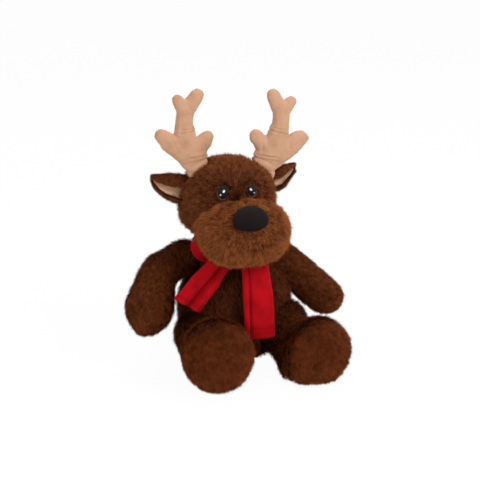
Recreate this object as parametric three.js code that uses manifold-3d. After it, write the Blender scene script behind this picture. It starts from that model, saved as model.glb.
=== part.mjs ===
// A seated plush deer with stuffed antlers and a scarf. Lengths are in millimetres and angles in degrees.
// +Z is up, the toy faces -Y, its own right side is -X, and the origin lies under the middle of its seat.
import * as THREE from "three";
import { mergeVertices } from "three/addons/utils/BufferGeometryUtils.js";
import Module from "manifold-3d";

const wasm = await Module();
wasm.setup();

// Cloths and the room between sewn pieces
const furCloth = 7; // backing with its pile
const shortCloth = 3; // backing of the short, tan ear lining
const velourCloth = 1.8; // smooth cloth of the antlers and the nose
const scarfCloth = 2.4;
const thread = 1.6;
const seamGap = 0.3;
const seatGap = 0.96; // round a root that turns in its seat
const stuffingGap = 0.4;
const weldLength = 0.001;
const overrun = 20; // how far a cutting solid runs past what it cuts
const blockSpan = 4; // sizes of what it cuts, by which a cutting block measures

// How finely the soft forms are divided
const counts = {
  round: 18,
  coarse: 10,
  small: 8,
  least: 6,
  bodySide: 14,
  along: 5,
  cap: 4,
  smallCap: 2,
  thread: 4,
};

const body = {
  seatRadius: 46,
  hemHeight: 14,
  hemRadius: 60,
  flankHeight: 48,
  flankRadius: 65,
  waistHeight: 76,
  waistRadius: 61.5,
  chestHeight: 100,
  chestRadius: 49,
  collarHeight: 120,
  collarRadius: 34,
  neckHeight: 134,
  neckRadius: 28,
  mouthRadius: 17, // opening at the neck through which it is stuffed
  depthShare: 0.8,
};
const beanPouch = {
  radius: 29,
  depth: 36,
  height: 24,
  lift: 12,
  back: 24,
  waistShare: 0.8,
  wayShare: 0.25, // radius of the slit below it in the filling, over its depth
};
const tail = {
  reach: 0,
  forward: -28,
  rise: 12,
  arch: 2,
  rootRadius: 7,
  midRadius: 8.5,
  pawRadius: 6,
  pawShare: 1,
};
const tailRoot = { height: 40, depth: 0.4 }; // depth of the root's middle in the back

const head = {
  width: 109,
  depth: 100,
  height: 96,
  sink: 5, // how far the ball of the head would reach below the neck seam
  aside: -8,
  forward: 4,
  plumpShare: 0.88,
  mouthRadius: 17,
};
const muzzle = { width: 108, depth: 82, height: 82, aside: 3, forward: 41, drop: 28, plumpShare: 0.88 };
const nose = {
  width: 39,
  depth: 26,
  height: 27,
  aside: 0,
  rise: 25.5,
  sink: 2,
  tiltAngle: 26,
  taperShare: 0.16,
  plumpShare: 0.9,
};
const mouth = { width: 16, drop: 20, sag: 4 };
const iris = { width: 12.5, height: 15.5, spacing: 32, rise: 19, aside: -2.5, thickness: 1 };
const pupil = { width: 11.5, height: 13.5, rise: 1, inward: 0.6, thickness: 0.8 };
const glints = {
  large: { width: 3, height: 5, inward: 2.2, rise: 2.2, leanAngle: 30 },
  small: { width: 2, height: 2.6, inward: -1.4, rise: -1.6, leanAngle: 30 },
};
const glintThickness = 0.6;

// The hollow under the chin and round the neck, which the scarf fills and the head turns over
const neckRoom = {
  radius: 52,
  edgeDrop: 3,
  rimRadius: 45,
  rimRise: 4,
  rootRise: 5,
  chinRise: 9,
  depth: 60,
};

const ear = {
  width: 44,
  rootRadius: 6,
  spineRise: 7, // from the root to the fold along the ear's back
  cupAngle: 150,
  furThickness: 4,
  widthShares: [0.55, 0.8, 1, 0.9, 0.56, 0.16],
  riseShares: [-0.1, 0.6, 1, 1, 1, 1],
  placeShares: [0.1, 0.2, 0.38, 0.6, 0.86, 1],
};
// An ear's root lies inward of the head's side
const earSides = {
  right: { length: 31, inward: 4, height: 57, back: 7, riseAngle: 4, sweepAngle: 4, rollAngle: 52 },
  left: { length: 34, inward: 1.5, height: 57.5, back: 10, riseAngle: 14, sweepAngle: 16, rollAngle: 52 },
};

const antler = {
  seamRadius: 7.5,
  mouthShare: 0.5, // of the seam's radius, by which the open seam rises over the bead
  seamWidth: 27,
  seamAngle: 36,
  rootShare: 0.12, // of the palm's length, where its broad form starts
  rootRadius: 8.6,
  palmLength: 41,
  palmAngle: 17,
  palmRadius: 12.5,
  trunkLength: 25.5,
  trunkAngle: -3,
  trunkRadius: 12,
  forkRadius: 10,
  flatShare: 0.62, // thickness over width
};
// Tines start at a share of the palm's length, or at the fork where they name none
const tines = {
  outerLow: { palmShare: 0.42, length: 40, angle: 53, radius: 11.5, tipRadius: 8.2 },
  innerLow: { palmShare: 0.52, length: 25, angle: -50, radius: 10.5, tipRadius: 7.2 },
  innerHigh: { length: 21.5, angle: -36, radius: 9.5, tipRadius: 7.6 },
  outerHigh: { length: 16, angle: 33, radius: 9, tipRadius: 6.4 },
};
// An antler's root lies below the top of the head
const antlerSides = {
  right: { spread: 34.5, below: 15, forward: 3, leanAngle: 0 },
  left: { spread: 38.5, below: 19, forward: 3, leanAngle: 11 },
};

const shoulder = { spread: 53, height: 108, back: 2 };
const arms = {
  right: {
    reach: 48,
    forward: 27,
    drop: 39,
    arch: 14,
    rootRadius: 17,
    midRadius: 21,
    pawRadius: 28,
    pawShare: 0.95,
  },
  left: {
    reach: 54,
    forward: 13,
    drop: 53,
    arch: 2,
    rootRadius: 17,
    midRadius: 17.6,
    pawRadius: 19.6,
    pawShare: 1,
  },
};
const armMouthRadius = 7;

const hip = { spread: 46, height: 31, forward: 24 };
const legs = {
  right: {
    reach: 2,
    forward: 78,
    rise: 8,
    arch: -11,
    rootRadius: 29,
    midRadius: 29,
    pawRadius: 39.5,
    pawShare: 0.55,
  },
  left: {
    reach: 17.5,
    forward: 86,
    rise: 4,
    arch: -11,
    rootRadius: 28,
    midRadius: 29,
    pawRadius: 35.5,
    pawShare: 0.55,
  },
};
const legMouthRadius = 12;
const soleSeamShare = 0.14; // of the cap's depth, from the widest ring of the foot

const scarf = {
  sideHeight: 13,
  frontHeight: 19,
  sideMiddle: 127.2,
  frontDrop: 16.5,
  frontPower: 1.5, // how closely the drop keeps to the front
  thickness: 6,
};
// The loop's section, as shares of its height and its thickness
const bandOutline = [
  [0, 0.1],
  [0.05, 0.85],
  [0.2, 1],
  [0.36, 0.7],
  [0.52, 1],
  [0.68, 0.7],
  [0.84, 1],
  [0.98, 0.75],
  [1, 0.1],
  [0.5, 0.1],
];
const knot = {
  width: 39,
  rise: 18.5,
  depth: 10.5,
  plumpShare: 0.85,
  pinchShare: 0.3,
  aside: -7.5,
  forward: 41.6,
  height: 109,
};
// The fold runs down a tail nearer to the toy's right, or with foldSide -1 nearer to its left
const tailCloths = {
  right: {
    topWidth: 20,
    width: 29,
    length: 53,
    leanAngle: 50.5,
    acrossAngle: 27,
    aside: -24.4,
    height: 104.7,
    forward: 44.4,
    outward: 3,
    foldSide: -1,
  },
  left: {
    topWidth: 24,
    width: 27,
    length: 69,
    leanAngle: -1.5,
    acrossAngle: -3,
    aside: 7,
    height: 105,
    forward: 45.4,
    outward: 21,
    foldSide: 1,
  },
};
const tailFold = { depth: 3.5, openShare: 0.3, topShare: 0.4 };
// Places across a tail, as shares of its width, and how far the cloth stands out, as shares of the fold
const foldPlaces = [
  [0, 0.1],
  [0.12, 0.7],
  [0.24, 1],
  [0.32, 0],
  [0.5, 0.1],
  [0.7, 0.35],
  [0.88, 0.3],
  [1, 0],
];
const tailSteps = 7;

// Colours, roughness and metalness
const finishes = {
  bodyFur: { color: "#4a2312", roughness: 0.95, metalness: 0 },
  headFur: { color: "#5b2d18", roughness: 0.95, metalness: 0 },
  muzzleFur: { color: "#6d3a20", roughness: 0.95, metalness: 0 },
  soleFur: { color: "#6b371d", roughness: 0.95, metalness: 0 },
  antlerVelour: { color: "#cf9f7c", roughness: 0.85, metalness: 0 },
  earLining: { color: "#bd9279", roughness: 0.9, metalness: 0 },
  scarfFelt: { color: "#b0141d", roughness: 0.9, metalness: 0 },
  noseVelour: { color: "#1c1412", roughness: 0.7, metalness: 0 },
  eyeThread: { color: "#0d0b0b", roughness: 0.35, metalness: 0 },
  irisThread: { color: "#8a5a48", roughness: 0.4, metalness: 0 },
  glintThread: { color: "#f4f1ec", roughness: 0.4, metalness: 0 },
  mouthThread: { color: "#170f0d", roughness: 0.6, metalness: 0 },
  fibrefill: { color: "#efece6", roughness: 1, metalness: 0 },
  beanCloth: { color: "#d8d2c6", roughness: 0.9, metalness: 0 },
};

const radians = THREE.MathUtils.degToRad;
const sideSigns = { right: -1, left: 1 };
const vector = (x, y, z) => new THREE.Vector3(x, y, z);

// Solids from closed geometries, and back
function solid(geometry) {
  const bare = geometry.clone();
  bare.deleteAttribute("normal");
  bare.deleteAttribute("uv");
  const merged = mergeVertices(bare, weldLength);
  const vertProperties = merged.attributes.position.array;
  const build = (triVerts) => new wasm.Manifold(new wasm.Mesh({ numProp: 3, vertProperties, triVerts }));
  const triVerts = new Uint32Array(merged.index.array);
  const made = build(triVerts);
  return made.volume() > 0 ? made : build(triVerts.reverse());
}

function addPiece(group, name, shape, finish) {
  const data = shape.getMesh();
  const geometry = new THREE.BufferGeometry()
    .setAttribute("position", new THREE.BufferAttribute(data.vertProperties, 3))
    .setIndex(new THREE.BufferAttribute(data.triVerts, 1));
  geometry.computeVertexNormals();
  const piece = new THREE.Mesh(geometry, new THREE.MeshStandardMaterial(finishes[finish]));
  piece.name = name;
  group.add(piece);
}

function addGroup(parent, x, y, z) {
  const group = new THREE.Group();
  group.position.set(x, y, z);
  parent.add(group);
  return group;
}

// A geometry that stands in a group, in its parent's frame
function inParent(group, geometry) {
  group.updateMatrix();
  return geometry.clone().applyMatrix4(group.matrix);
}

// The faces between rings of equal count, from the last back to the first if it is a loop
function bandFaces(rings, isLoop) {
  const size = rings[0].length;
  const faces = [];
  for (let i = 0; i < (isLoop ? rings.length : rings.length - 1); i++) {
    const here = i * size;
    const next = ((i + 1) % rings.length) * size;
    for (let j = 0; j < size; j++) {
      const k = (j + 1) % size;
      faces.push(here + j, here + k, next + k, here + j, next + k, next + j);
    }
  }
  return faces;
}

const skinOver = (points, faces) => new THREE.BufferGeometry().setFromPoints(points).setIndex(faces);

// A round form over rings, with a pole at each end
function loft(rings, poles) {
  const points = [...rings.flat(), ...poles];
  const faces = bandFaces(rings, false);
  const size = rings[0].length;
  const last = (rings.length - 1) * size;
  for (let j = 0; j < size; j++) {
    const k = (j + 1) % size;
    faces.push(points.length - 2, k, j, points.length - 1, last + j, last + k);
  }
  return skinOver(points, faces);
}

// A cloth over rings that go out along one face and back along the other
function clothOver(rings) {
  const faces = bandFaces(rings, false);
  const size = rings[0].length;
  const last = (rings.length - 1) * size;
  for (let j = 0; j < size / 2 - 1; j++) {
    const [k, back, backNext] = [j + 1, size - 1 - j, size - 2 - j];
    faces.push(j, back, backNext, j, backNext, k);
    faces.push(last + j, last + backNext, last + back, last + j, last + k, last + backNext);
  }
  return skinOver(rings.flat(), faces);
}

// A stuffed ball, squarer than a sphere as its share falls
function plumpBall(width, depth, height, share, grow = 0, around = counts.round) {
  const power = 2 / share;
  const geometry = new THREE.SphereGeometry(1, around, Math.round(around / 2) + 2).rotateX(Math.PI / 2);
  const place = geometry.attributes.position;
  const p = vector(0, 0, 0);
  for (let i = 0; i < place.count; i++) {
    p.fromBufferAttribute(place, i);
    const reach = Math.abs(p.x) ** power + Math.abs(p.y) ** power + Math.abs(p.z) ** power;
    p.divideScalar(reach ** (1 / power));
    place.setXYZ(i, p.x * (width / 2 + grow), p.y * (depth / 2 + grow), p.z * (height / 2 + grow));
  }
  return geometry;
}

// Where a line along Y meets the front of a stuffed ball that stands at its own middle
function frontOf(ball, x, z, grow = 0) {
  const power = 2 / ball.plumpShare;
  const aside = Math.abs(x / (ball.width / 2 + grow)) ** power;
  const aloft = Math.abs(z / (ball.height / 2 + grow)) ** power;
  return -(ball.depth / 2 + grow) * Math.max(1 - aside - aloft, 0) ** (1 / power);
}

// The direction square to the front of a stuffed ball
function outOf(ball, x, z) {
  const power = 2 / ball.plumpShare;
  const y = frontOf(ball, x, z);
  const slope = (v, size) => (Math.sign(v) * Math.abs(v / (size / 2)) ** (power - 1)) / size;
  return vector(slope(x, ball.width), slope(y, ball.depth), slope(z, ball.height)).normalize();
}

// A stuffed limb along a bowed line from its round root at the group's origin
function limbPath(limb, sign) {
  const end = vector(sign * limb.reach, -limb.forward, (limb.rise ?? 0) - (limb.drop ?? 0));
  const bow = vector(sign * limb.reach, 0, end.z).cross(vector(0, sign, 0)).normalize();
  if (limb.rise) bow.set(0, 0, 1);
  const middle = end.clone().multiplyScalar(0.5).addScaledVector(bow, limb.arch);
  return new THREE.CatmullRomCurve3([vector(0, 0, 0), middle, end]);
}

function limbAlong(path, limb, grow, around, capSteps, steps) {
  const swell = new THREE.SplineCurve(
    [limb.rootRadius, limb.midRadius, limb.pawRadius].map((r, i) => new THREE.Vector2(i / 2, r + grow)),
  );
  const frames = path.computeFrenetFrames(steps, false);
  const rings = [];
  const ring = (centre, frame, radius) =>
    rings.push(
      Array.from({ length: around }, (_, j) => {
        const turn = (2 * Math.PI * j) / around;
        return centre
          .clone()
          .addScaledVector(frames.normals[frame], radius * Math.cos(turn))
          .addScaledVector(frames.binormals[frame], radius * Math.sin(turn));
      }),
    );
  const start = path.getPoint(0);
  const end = path.getPoint(1);
  const root = limb.rootRadius + grow;
  const paw = limb.pawRadius + grow;
  const pawDepth = limb.pawRadius * limb.pawShare + grow;
  for (let i = 1; i < capSteps; i++) {
    const lift = (Math.PI / 2) * (i / capSteps);
    const centre = start.clone().addScaledVector(frames.tangents[0], -root * Math.cos(lift));
    ring(centre, 0, root * Math.sin(lift));
  }
  for (let i = 0; i <= steps; i++) {
    ring(path.getPoint(i / steps), i, swell.getPoint(i / steps).y);
  }
  for (let i = capSteps - 1; i > 0; i--) {
    const lift = (Math.PI / 2) * (i / capSteps);
    const centre = end.clone().addScaledVector(frames.tangents[steps], pawDepth * Math.cos(lift));
    ring(centre, steps, paw * Math.sin(lift));
  }
  return loft(rings, [
    start.clone().addScaledVector(frames.tangents[0], -root),
    end.clone().addScaledVector(frames.tangents[steps], pawDepth),
  ]);
}

function limbForm(limb, sign, grow = 0, around = counts.round) {
  return limbAlong(limbPath(limb, sign), limb, grow, around, counts.cap, counts.along);
}

function rootBall(radius, around) {
  return plumpBall(2 * radius, 2 * radius, 2 * radius, 1, 0, around);
}

// A block that fills one side of a plane
function beyond(point, normal, size) {
  const block = new THREE.BoxGeometry(size, size, size).translate(0, 0, size / 2);
  block.applyQuaternion(new THREE.Quaternion().setFromUnitVectors(vector(0, 0, 1), normal));
  return solid(block.translate(point.x, point.y, point.z));
}

// A round rod along a direction, from a point
function rod(point, direction, radius, length, around = counts.coarse) {
  const bar = new THREE.CylinderGeometry(radius, radius, length, around).translate(0, length / 2, 0);
  bar.applyQuaternion(new THREE.Quaternion().setFromUnitVectors(vector(0, 1, 0), direction));
  return bar.translate(point.x, point.y, point.z);
}

const toy = new THREE.Group();
const floorSize = blockSpan * body.flankRadius;

// Arms and legs hang on round roots. Each is a fur skin, open at its root, over its stuffing.
const limbs = [];
function addLimb(kind, side, limb, at, mouthRadius) {
  const sign = sideSigns[side];
  const group = addGroup(toy, at.x, at.y, at.z);
  const path = limbPath(limb, sign);
  const floor = beyond(vector(0, 0, -at.z), vector(0, 0, -1), floorSize);
  const rootLine = path.getTangent(0);
  const mouthStart = rootLine.clone().multiplyScalar(-limb.rootRadius - overrun);
  const mouthHole = solid(rod(mouthStart, rootLine, mouthRadius, limb.rootRadius + overrun));
  const hollow = solid(limbForm(limb, sign, -furCloth, counts.coarse));
  let skin = solid(limbForm(limb, sign)).subtract(floor);
  const filling = solid(limbForm(limb, sign, -furCloth - stuffingGap, counts.coarse));
  skin = skin.subtract(hollow).subtract(mouthHole);
  if (kind === "leg") {
    const toe = path.getTangent(1);
    const seam = path.getPoint(1).addScaledVector(toe, limb.pawRadius * limb.pawShare * soleSeamShare);
    const front = beyond(seam, toe, blockSpan * limb.pawRadius);
    const frontAndGap = beyond(seam.clone().addScaledVector(toe, -seamGap), toe, blockSpan * limb.pawRadius);
    addPiece(group, `sole_panel_${side}`, skin.intersect(front), "soleFur");
    skin = skin.subtract(frontAndGap);
  }
  addPiece(group, `${kind}_skin_${side}`, skin, "bodyFur");
  addPiece(group, `${kind}_stuffing_${side}`, filling, "fibrefill");
  limbs.push({ group, limb, sign });
}

for (const side of ["right", "left"]) {
  const sign = sideSigns[side];
  const shoulderPlace = vector(sign * shoulder.spread, shoulder.back, shoulder.height);
  const hipPlace = vector(sign * hip.spread, -hip.forward, hip.height);
  addLimb("arm", side, arms[side], shoulderPlace, armMouthRadius);
  addLimb("leg", side, legs[side], hipPlace, legMouthRadius);
}

// The body is a pear of fur cloth, open at the neck, over stuffing with a bag of beans low in the seat.
const bodySide = new THREE.SplineCurve(
  [
    [body.seatRadius, 0],
    [body.hemRadius, body.hemHeight],
    [body.flankRadius, body.flankHeight],
    [body.waistRadius, body.waistHeight],
    [body.chestRadius, body.chestHeight],
    [body.collarRadius, body.collarHeight],
    [body.neckRadius, body.neckHeight],
  ].map(([radius, height]) => new THREE.Vector2(radius, height)),
);

function bodyForm(inset, around = counts.round) {
  const inward = (p) => new THREE.Vector2(p.x - inset, Math.max(p.y, inset));
  const outline = bodySide.getPoints(counts.bodySide).map(inward);
  const top = body.neckHeight - inset;
  const kept = outline.filter((p, i) => p.y < top && (i === 0 || p.y > outline[i - 1].y));
  const closed = [new THREE.Vector2(0, kept[0].y), ...kept, new THREE.Vector2(body.neckRadius - inset, top)];
  closed.push(new THREE.Vector2(0, top));
  return new THREE.LatheGeometry(closed, around).rotateX(Math.PI / 2).scale(1, body.depthShare, 1);
}

function bodyRadiusAt(height) {
  const points = bodySide.getPoints(counts.bodySide);
  const above = Math.max(points.findIndex((p) => p.y >= Math.min(height, body.neckHeight)), 1);
  const [low, high] = [points[above - 1], points[above]];
  return THREE.MathUtils.mapLinear(Math.min(height, high.y), low.y, high.y, low.x, high.x);
}

let limbSeats = null;
let limbPockets = null;
for (const { group, limb, sign } of limbs) {
  const seat = solid(inParent(group, limbForm(limb, sign, seatGap)));
  const pocket = solid(inParent(group, limbForm(limb, sign, furCloth, counts.coarse)));
  limbSeats = limbSeats ? limbSeats.add(seat) : seat;
  limbPockets = limbPockets ? limbPockets.add(pocket) : pocket;
}

const up = vector(0, 0, 1);
const tailY = body.depthShare * bodyRadiusAt(tailRoot.height) - tailRoot.depth;
const tailGroup = addGroup(toy, 0, tailY, tailRoot.height);
addPiece(tailGroup, "tail", solid(limbForm(tail, 1, 0, counts.coarse)), "bodyFur");
const tailSeat = solid(inParent(tailGroup, limbForm(tail, 1, seatGap, counts.coarse)));

const neckMouth = solid(rod(vector(0, 0, body.chestHeight), up, body.mouthRadius, body.neckHeight));
const bodyHollow = solid(bodyForm(furCloth, counts.coarse)).subtract(limbPockets);
const bodySkin = solid(bodyForm(0))
  .subtract(limbSeats)
  .subtract(tailSeat)
  .subtract(bodyHollow)
  .subtract(neckMouth);
addPiece(toy, "body_skin", bodySkin, "bodyFur");

function pouchForm(grow) {
  const { radius, height } = beanPouch;
  const waist = radius * beanPouch.waistShare;
  const outline = new THREE.SplineCurve([
    new THREE.Vector2(waist + grow, -grow),
    new THREE.Vector2(radius + grow, height / 2),
    new THREE.Vector2(waist + grow, height + grow),
  ]).getPoints(counts.along);
  outline.unshift(new THREE.Vector2(0, -grow));
  outline.push(new THREE.Vector2(0, height + grow));
  const form = new THREE.LatheGeometry(outline, counts.coarse).rotateX(Math.PI / 2);
  return solid(form.scale(1, beanPouch.depth / 2 / radius, 1).translate(0, beanPouch.back, beanPouch.lift));
}

const pouchPlace = vector(0, beanPouch.back, beanPouch.lift);
const pouchWay = solid(rod(pouchPlace, up.clone().negate(), beanPouch.depth * beanPouch.wayShare, overrun));
const bodyFilling = solid(bodyForm(furCloth + stuffingGap, counts.coarse))
  .subtract(limbPockets)
  .subtract(tailSeat)
  .subtract(pouchForm(stuffingGap))
  .subtract(pouchWay);
addPiece(toy, "body_stuffing", bodyFilling, "fibrefill");
addPiece(toy, "bean_pouch", pouchForm(0), "beanCloth");

// The head turns on the neck seam. Its ball carries the muzzle, the eyes, the ears and the antlers.
const headGroup = addGroup(toy, 0, 0, body.neckHeight);
const headMiddle = vector(head.aside, -head.forward, head.height / 2 - head.sink);
const muzzleMiddle = headMiddle.clone().add(vector(muzzle.aside, -muzzle.forward, -muzzle.drop));
function ballAt(ball, middle, grow, around = counts.round) {
  const form = plumpBall(ball.width, ball.depth, ball.height, ball.plumpShare, grow, around);
  return form.translate(...middle.toArray());
}
const headBall = (grow, around) => solid(ballAt(head, headMiddle, grow, around));
const muzzleBall = (grow, around) => solid(ballAt(muzzle, muzzleMiddle, grow, around));

function neckRoomForm(grow, middleRise = seamGap) {
  const neckSide = body.neckRadius + seatGap - grow;
  const outline = [
    [0, -neckRoom.depth],
    [neckRoom.radius + grow, -neckRoom.depth],
    [neckRoom.radius + grow, -neckRoom.edgeDrop + grow],
    [neckRoom.rimRadius + grow, neckRoom.rimRise + grow],
    [neckSide, neckRoom.rootRise + grow],
    [neckSide, middleRise + grow],
    [0, middleRise + grow],
  ].map(([radius, height]) => new THREE.Vector2(radius, height));
  return solid(new THREE.LatheGeometry(outline, counts.round).rotateX(Math.PI / 2));
}

// Ears are cupped leaves on round roots: fur cloth outside and a tan lining inside.
function earLeaf(sign, length, inner, outer, first) {
  const half = radians(ear.cupAngle / 2);
  const rings = ear.placeShares.slice(first).map((place, i) => {
    const radius = (ear.width * ear.widthShares[first + i]) / 2 / Math.sin(half);
    const arc = (offset) =>
      Array.from({ length: counts.along + 1 }, (_, j) => {
        const turn = -half + (2 * half * j) / counts.along;
        const reach = radius + offset;
        const rise = ear.spineRise * ear.riseShares[first + i];
        const y = rise + reach * Math.cos(turn) - radius;
        return vector(sign * length * place, y, reach * Math.sin(turn));
      });
    return [...arc(outer), ...arc(inner).reverse()];
  });
  return clothOver(rings);
}

const headSeats = [];
for (const side of ["right", "left"]) {
  const sign = sideSigns[side];
  const place = earSides[side];
  const spread = head.width / 2 - place.inward;
  const group = addGroup(headGroup, head.aside + sign * spread, place.back, place.height);
  const turns = [place.rollAngle, -sign * place.riseAngle, sign * place.sweepAngle].map(radians);
  group.rotation.set(...turns, "ZYX");
  const furTop = shortCloth + seamGap + ear.furThickness;
  const lining = solid(earLeaf(sign, place.length, 0, shortCloth, 1));
  const fur = solid(earLeaf(sign, place.length, shortCloth + seamGap, furTop, 0));
  const furRoom = solid(earLeaf(sign, place.length, shortCloth, furTop, 0));
  const root = solid(rootBall(ear.rootRadius, counts.coarse));
  addPiece(group, `ear_back_${side}`, fur.add(root), "headFur");
  const rootRoom = solid(rootBall(ear.rootRadius + seamGap, counts.coarse));
  addPiece(group, `ear_lining_${side}`, lining.subtract(furRoom).subtract(rootRoom), "earLining");
  headSeats.push(solid(inParent(group, rootBall(ear.rootRadius + seatGap, counts.coarse))));
}

// Antlers are two velour panels, sewn along their edge and stuffed.
// A round bead at the root lies in the head's seam.
function antlerForm(sign, grow, around) {
  const aim = (angle, length) =>
    vector(sign * Math.sin(radians(angle)), 0, Math.cos(radians(angle))).multiplyScalar(length);
  const palm = aim(antler.palmAngle, antler.palmLength);
  const fork = palm.clone().add(aim(antler.trunkAngle, antler.trunkLength));
  const bar = (start, end, radius, tipRadius) => {
    const midRadius = (radius + tipRadius) / 2;
    const limb = { rootRadius: radius, midRadius, pawRadius: tipRadius, pawShare: 1 };
    const round = limbAlong(new THREE.LineCurve3(start, end), limb, grow, around, counts.smallCap, 2);
    return solid(round.scale(1, antler.flatShare, 1));
  };
  let form = bar(palm.clone().multiplyScalar(antler.rootShare), palm, antler.rootRadius, antler.palmRadius);
  form = form.add(bar(palm, fork, antler.trunkRadius, antler.forkRadius));
  for (const tine of Object.values(tines)) {
    const start = tine.palmShare ? palm.clone().multiplyScalar(tine.palmShare) : fork;
    form = form.add(bar(start, start.clone().add(aim(tine.angle, tine.length)), tine.radius, tine.tipRadius));
  }
  return form;
}

function seamBead(sign, grow, around) {
  const along = vector(-sign * Math.cos(radians(antler.seamAngle)), 0, Math.sin(radians(antler.seamAngle)));
  const start = along.clone().multiplyScalar(-antler.seamWidth / 2 - grow);
  return rod(start, along, antler.seamRadius + grow, antler.seamWidth + 2 * grow, around);
}

for (const side of ["right", "left"]) {
  const sign = sideSigns[side];
  const place = antlerSides[side];
  const rootHeight = head.height - head.sink - place.below;
  const group = addGroup(headGroup, head.aside + sign * place.spread, -place.forward, rootHeight);
  group.rotation.y = sign * radians(place.leanAngle);
  const outside = antlerForm(sign, 0, counts.small).add(solid(seamBead(sign, 0, counts.coarse)));
  const inside = antlerForm(sign, -velourCloth, counts.least);
  const filling = antlerForm(sign, -velourCloth - stuffingGap, counts.least);
  const shell = outside.subtract(inside);
  const size = blockSpan * (antler.palmLength + antler.trunkLength);
  const front = beyond(vector(0, -seamGap / 2, 0), vector(0, -1, 0), size);
  const rear = beyond(vector(0, seamGap / 2, 0), vector(0, 1, 0), size);
  addPiece(group, `antler_front_panel_${side}`, shell.intersect(front), "antlerVelour");
  addPiece(group, `antler_rear_panel_${side}`, shell.intersect(rear), "antlerVelour");
  addPiece(group, `antler_stuffing_${side}`, filling, "fibrefill");
  const groove = seamBead(sign, seatGap, counts.coarse);
  const grooveMouth = groove.clone().translate(0, 0, antler.seamRadius * antler.mouthShare);
  headSeats.push(solid(inParent(group, groove)), solid(inParent(group, grooveMouth)));
}

const headMouth = solid(rod(vector(0, 0, -overrun), up, head.mouthRadius, overrun + 2 * furCloth));
const headHollow = headBall(-furCloth, counts.coarse).subtract(neckRoomForm(furCloth));
let headSkin = headBall(0).subtract(neckRoomForm(0)).subtract(headHollow).subtract(headMouth);
for (const seat of headSeats) headSkin = headSkin.subtract(seat);
addPiece(headGroup, "head_skin", headSkin, "headFur");
let headCore = headBall(-furCloth - stuffingGap, counts.coarse);
headCore = headCore.subtract(neckRoomForm(furCloth + stuffingGap));
for (const seat of headSeats) headCore = headCore.subtract(seat);
addPiece(headGroup, "head_stuffing", headCore, "fibrefill");

// A sewn patch that follows the head's ball, between two heights over it
function badge(x, z, width, height, leanAngle, low, high) {
  const out = outOf(head, x, z);
  const middle = vector(x, frontOf(head, x, z), z).add(headMiddle);
  const turn = new THREE.Matrix4().lookAt(out, vector(0, 0, 0), up);
  const disc = new THREE.CylinderGeometry(1, 1, overrun, counts.coarse).rotateX(Math.PI / 2);
  disc.scale(width / 2, height / 2, 1).rotateZ(radians(leanAngle)).applyMatrix4(turn);
  const cut = solid(disc.translate(...middle.toArray()));
  return headBall(high).subtract(headBall(low)).intersect(cut);
}

const eyeRooms = [];
for (const side of ["right", "left"]) {
  const sign = sideSigns[side];
  const x = iris.aside + (sign * iris.spacing) / 2;
  let height = seamGap;
  const z = iris.rise;
  const layer = (name, shape, finish) => addPiece(headGroup, `${name}_${side}`, shape, finish);
  layer("eye_iris", badge(x, z, iris.width, iris.height, 0, height, height + iris.thickness), "irisThread");
  eyeRooms.push(badge(x, z, iris.width + 2 * seamGap, iris.height + 2 * seamGap, 0, 0, overrun / 2));
  height += iris.thickness + seamGap;
  const pupilX = x - sign * pupil.inward;
  const pupilZ = z + pupil.rise;
  const pupilPatch = badge(pupilX, pupilZ, pupil.width, pupil.height, 0, height, height + pupil.thickness);
  layer("eye_pupil", pupilPatch, "eyeThread");
  height += pupil.thickness + seamGap;
  for (const [name, glint] of Object.entries(glints)) {
    const glintX = pupilX - sign * glint.inward;
    const glintZ = pupilZ + glint.rise;
    const lean = sign * glint.leanAngle;
    const top = height + glintThickness;
    const patch = badge(glintX, glintZ, glint.width, glint.height, lean, height, top);
    layer(`eye_glint_${name}`, patch, "glintThread");
  }
}

const muzzleHollow = muzzleBall(-furCloth, counts.coarse).subtract(neckRoomForm(furCloth, neckRoom.chinRise));
const muzzleSkin = muzzleBall(0)
  .subtract(headBall(seamGap))
  .subtract(neckRoomForm(0, neckRoom.chinRise))
  .subtract(muzzleHollow)
  .subtract(eyeRooms[0])
  .subtract(eyeRooms[1]);
addPiece(headGroup, "muzzle_skin", muzzleSkin, "muzzleFur");
const muzzleFilling = muzzleBall(-furCloth - stuffingGap, counts.coarse)
  .subtract(headBall(stuffingGap))
  .subtract(neckRoomForm(furCloth + stuffingGap, neckRoom.chinRise));
addPiece(headGroup, "muzzle_stuffing", muzzleFilling, "fibrefill");

// The nose is a smooth padded cushion, narrower at its top, seated on the front of the muzzle.
const noseFront = frontOf(muzzle, nose.aside, nose.rise) + nose.sink;
const nosePlace = muzzleMiddle.clone().add(vector(nose.aside, noseFront, nose.rise));

function noseForm(grow, around = counts.coarse) {
  const form = plumpBall(nose.width, nose.depth, nose.height, nose.plumpShare, grow, around);
  const place = form.attributes.position;
  for (let i = 0; i < place.count; i++) {
    place.setX(i, place.getX(i) * (1 - (nose.taperShare * place.getZ(i)) / (nose.height / 2)));
  }
  return solid(form.rotateX(-radians(nose.tiltAngle)).translate(...nosePlace.toArray()));
}
const noseCover = noseForm(0, counts.round).subtract(noseForm(-velourCloth)).subtract(muzzleBall(seamGap));
addPiece(headGroup, "nose_cover", noseCover, "noseVelour");
const noseFilling = noseForm(-velourCloth - stuffingGap).subtract(muzzleBall(seamGap + stuffingGap));
addPiece(headGroup, "nose_stuffing", noseFilling, "fibrefill");

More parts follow.
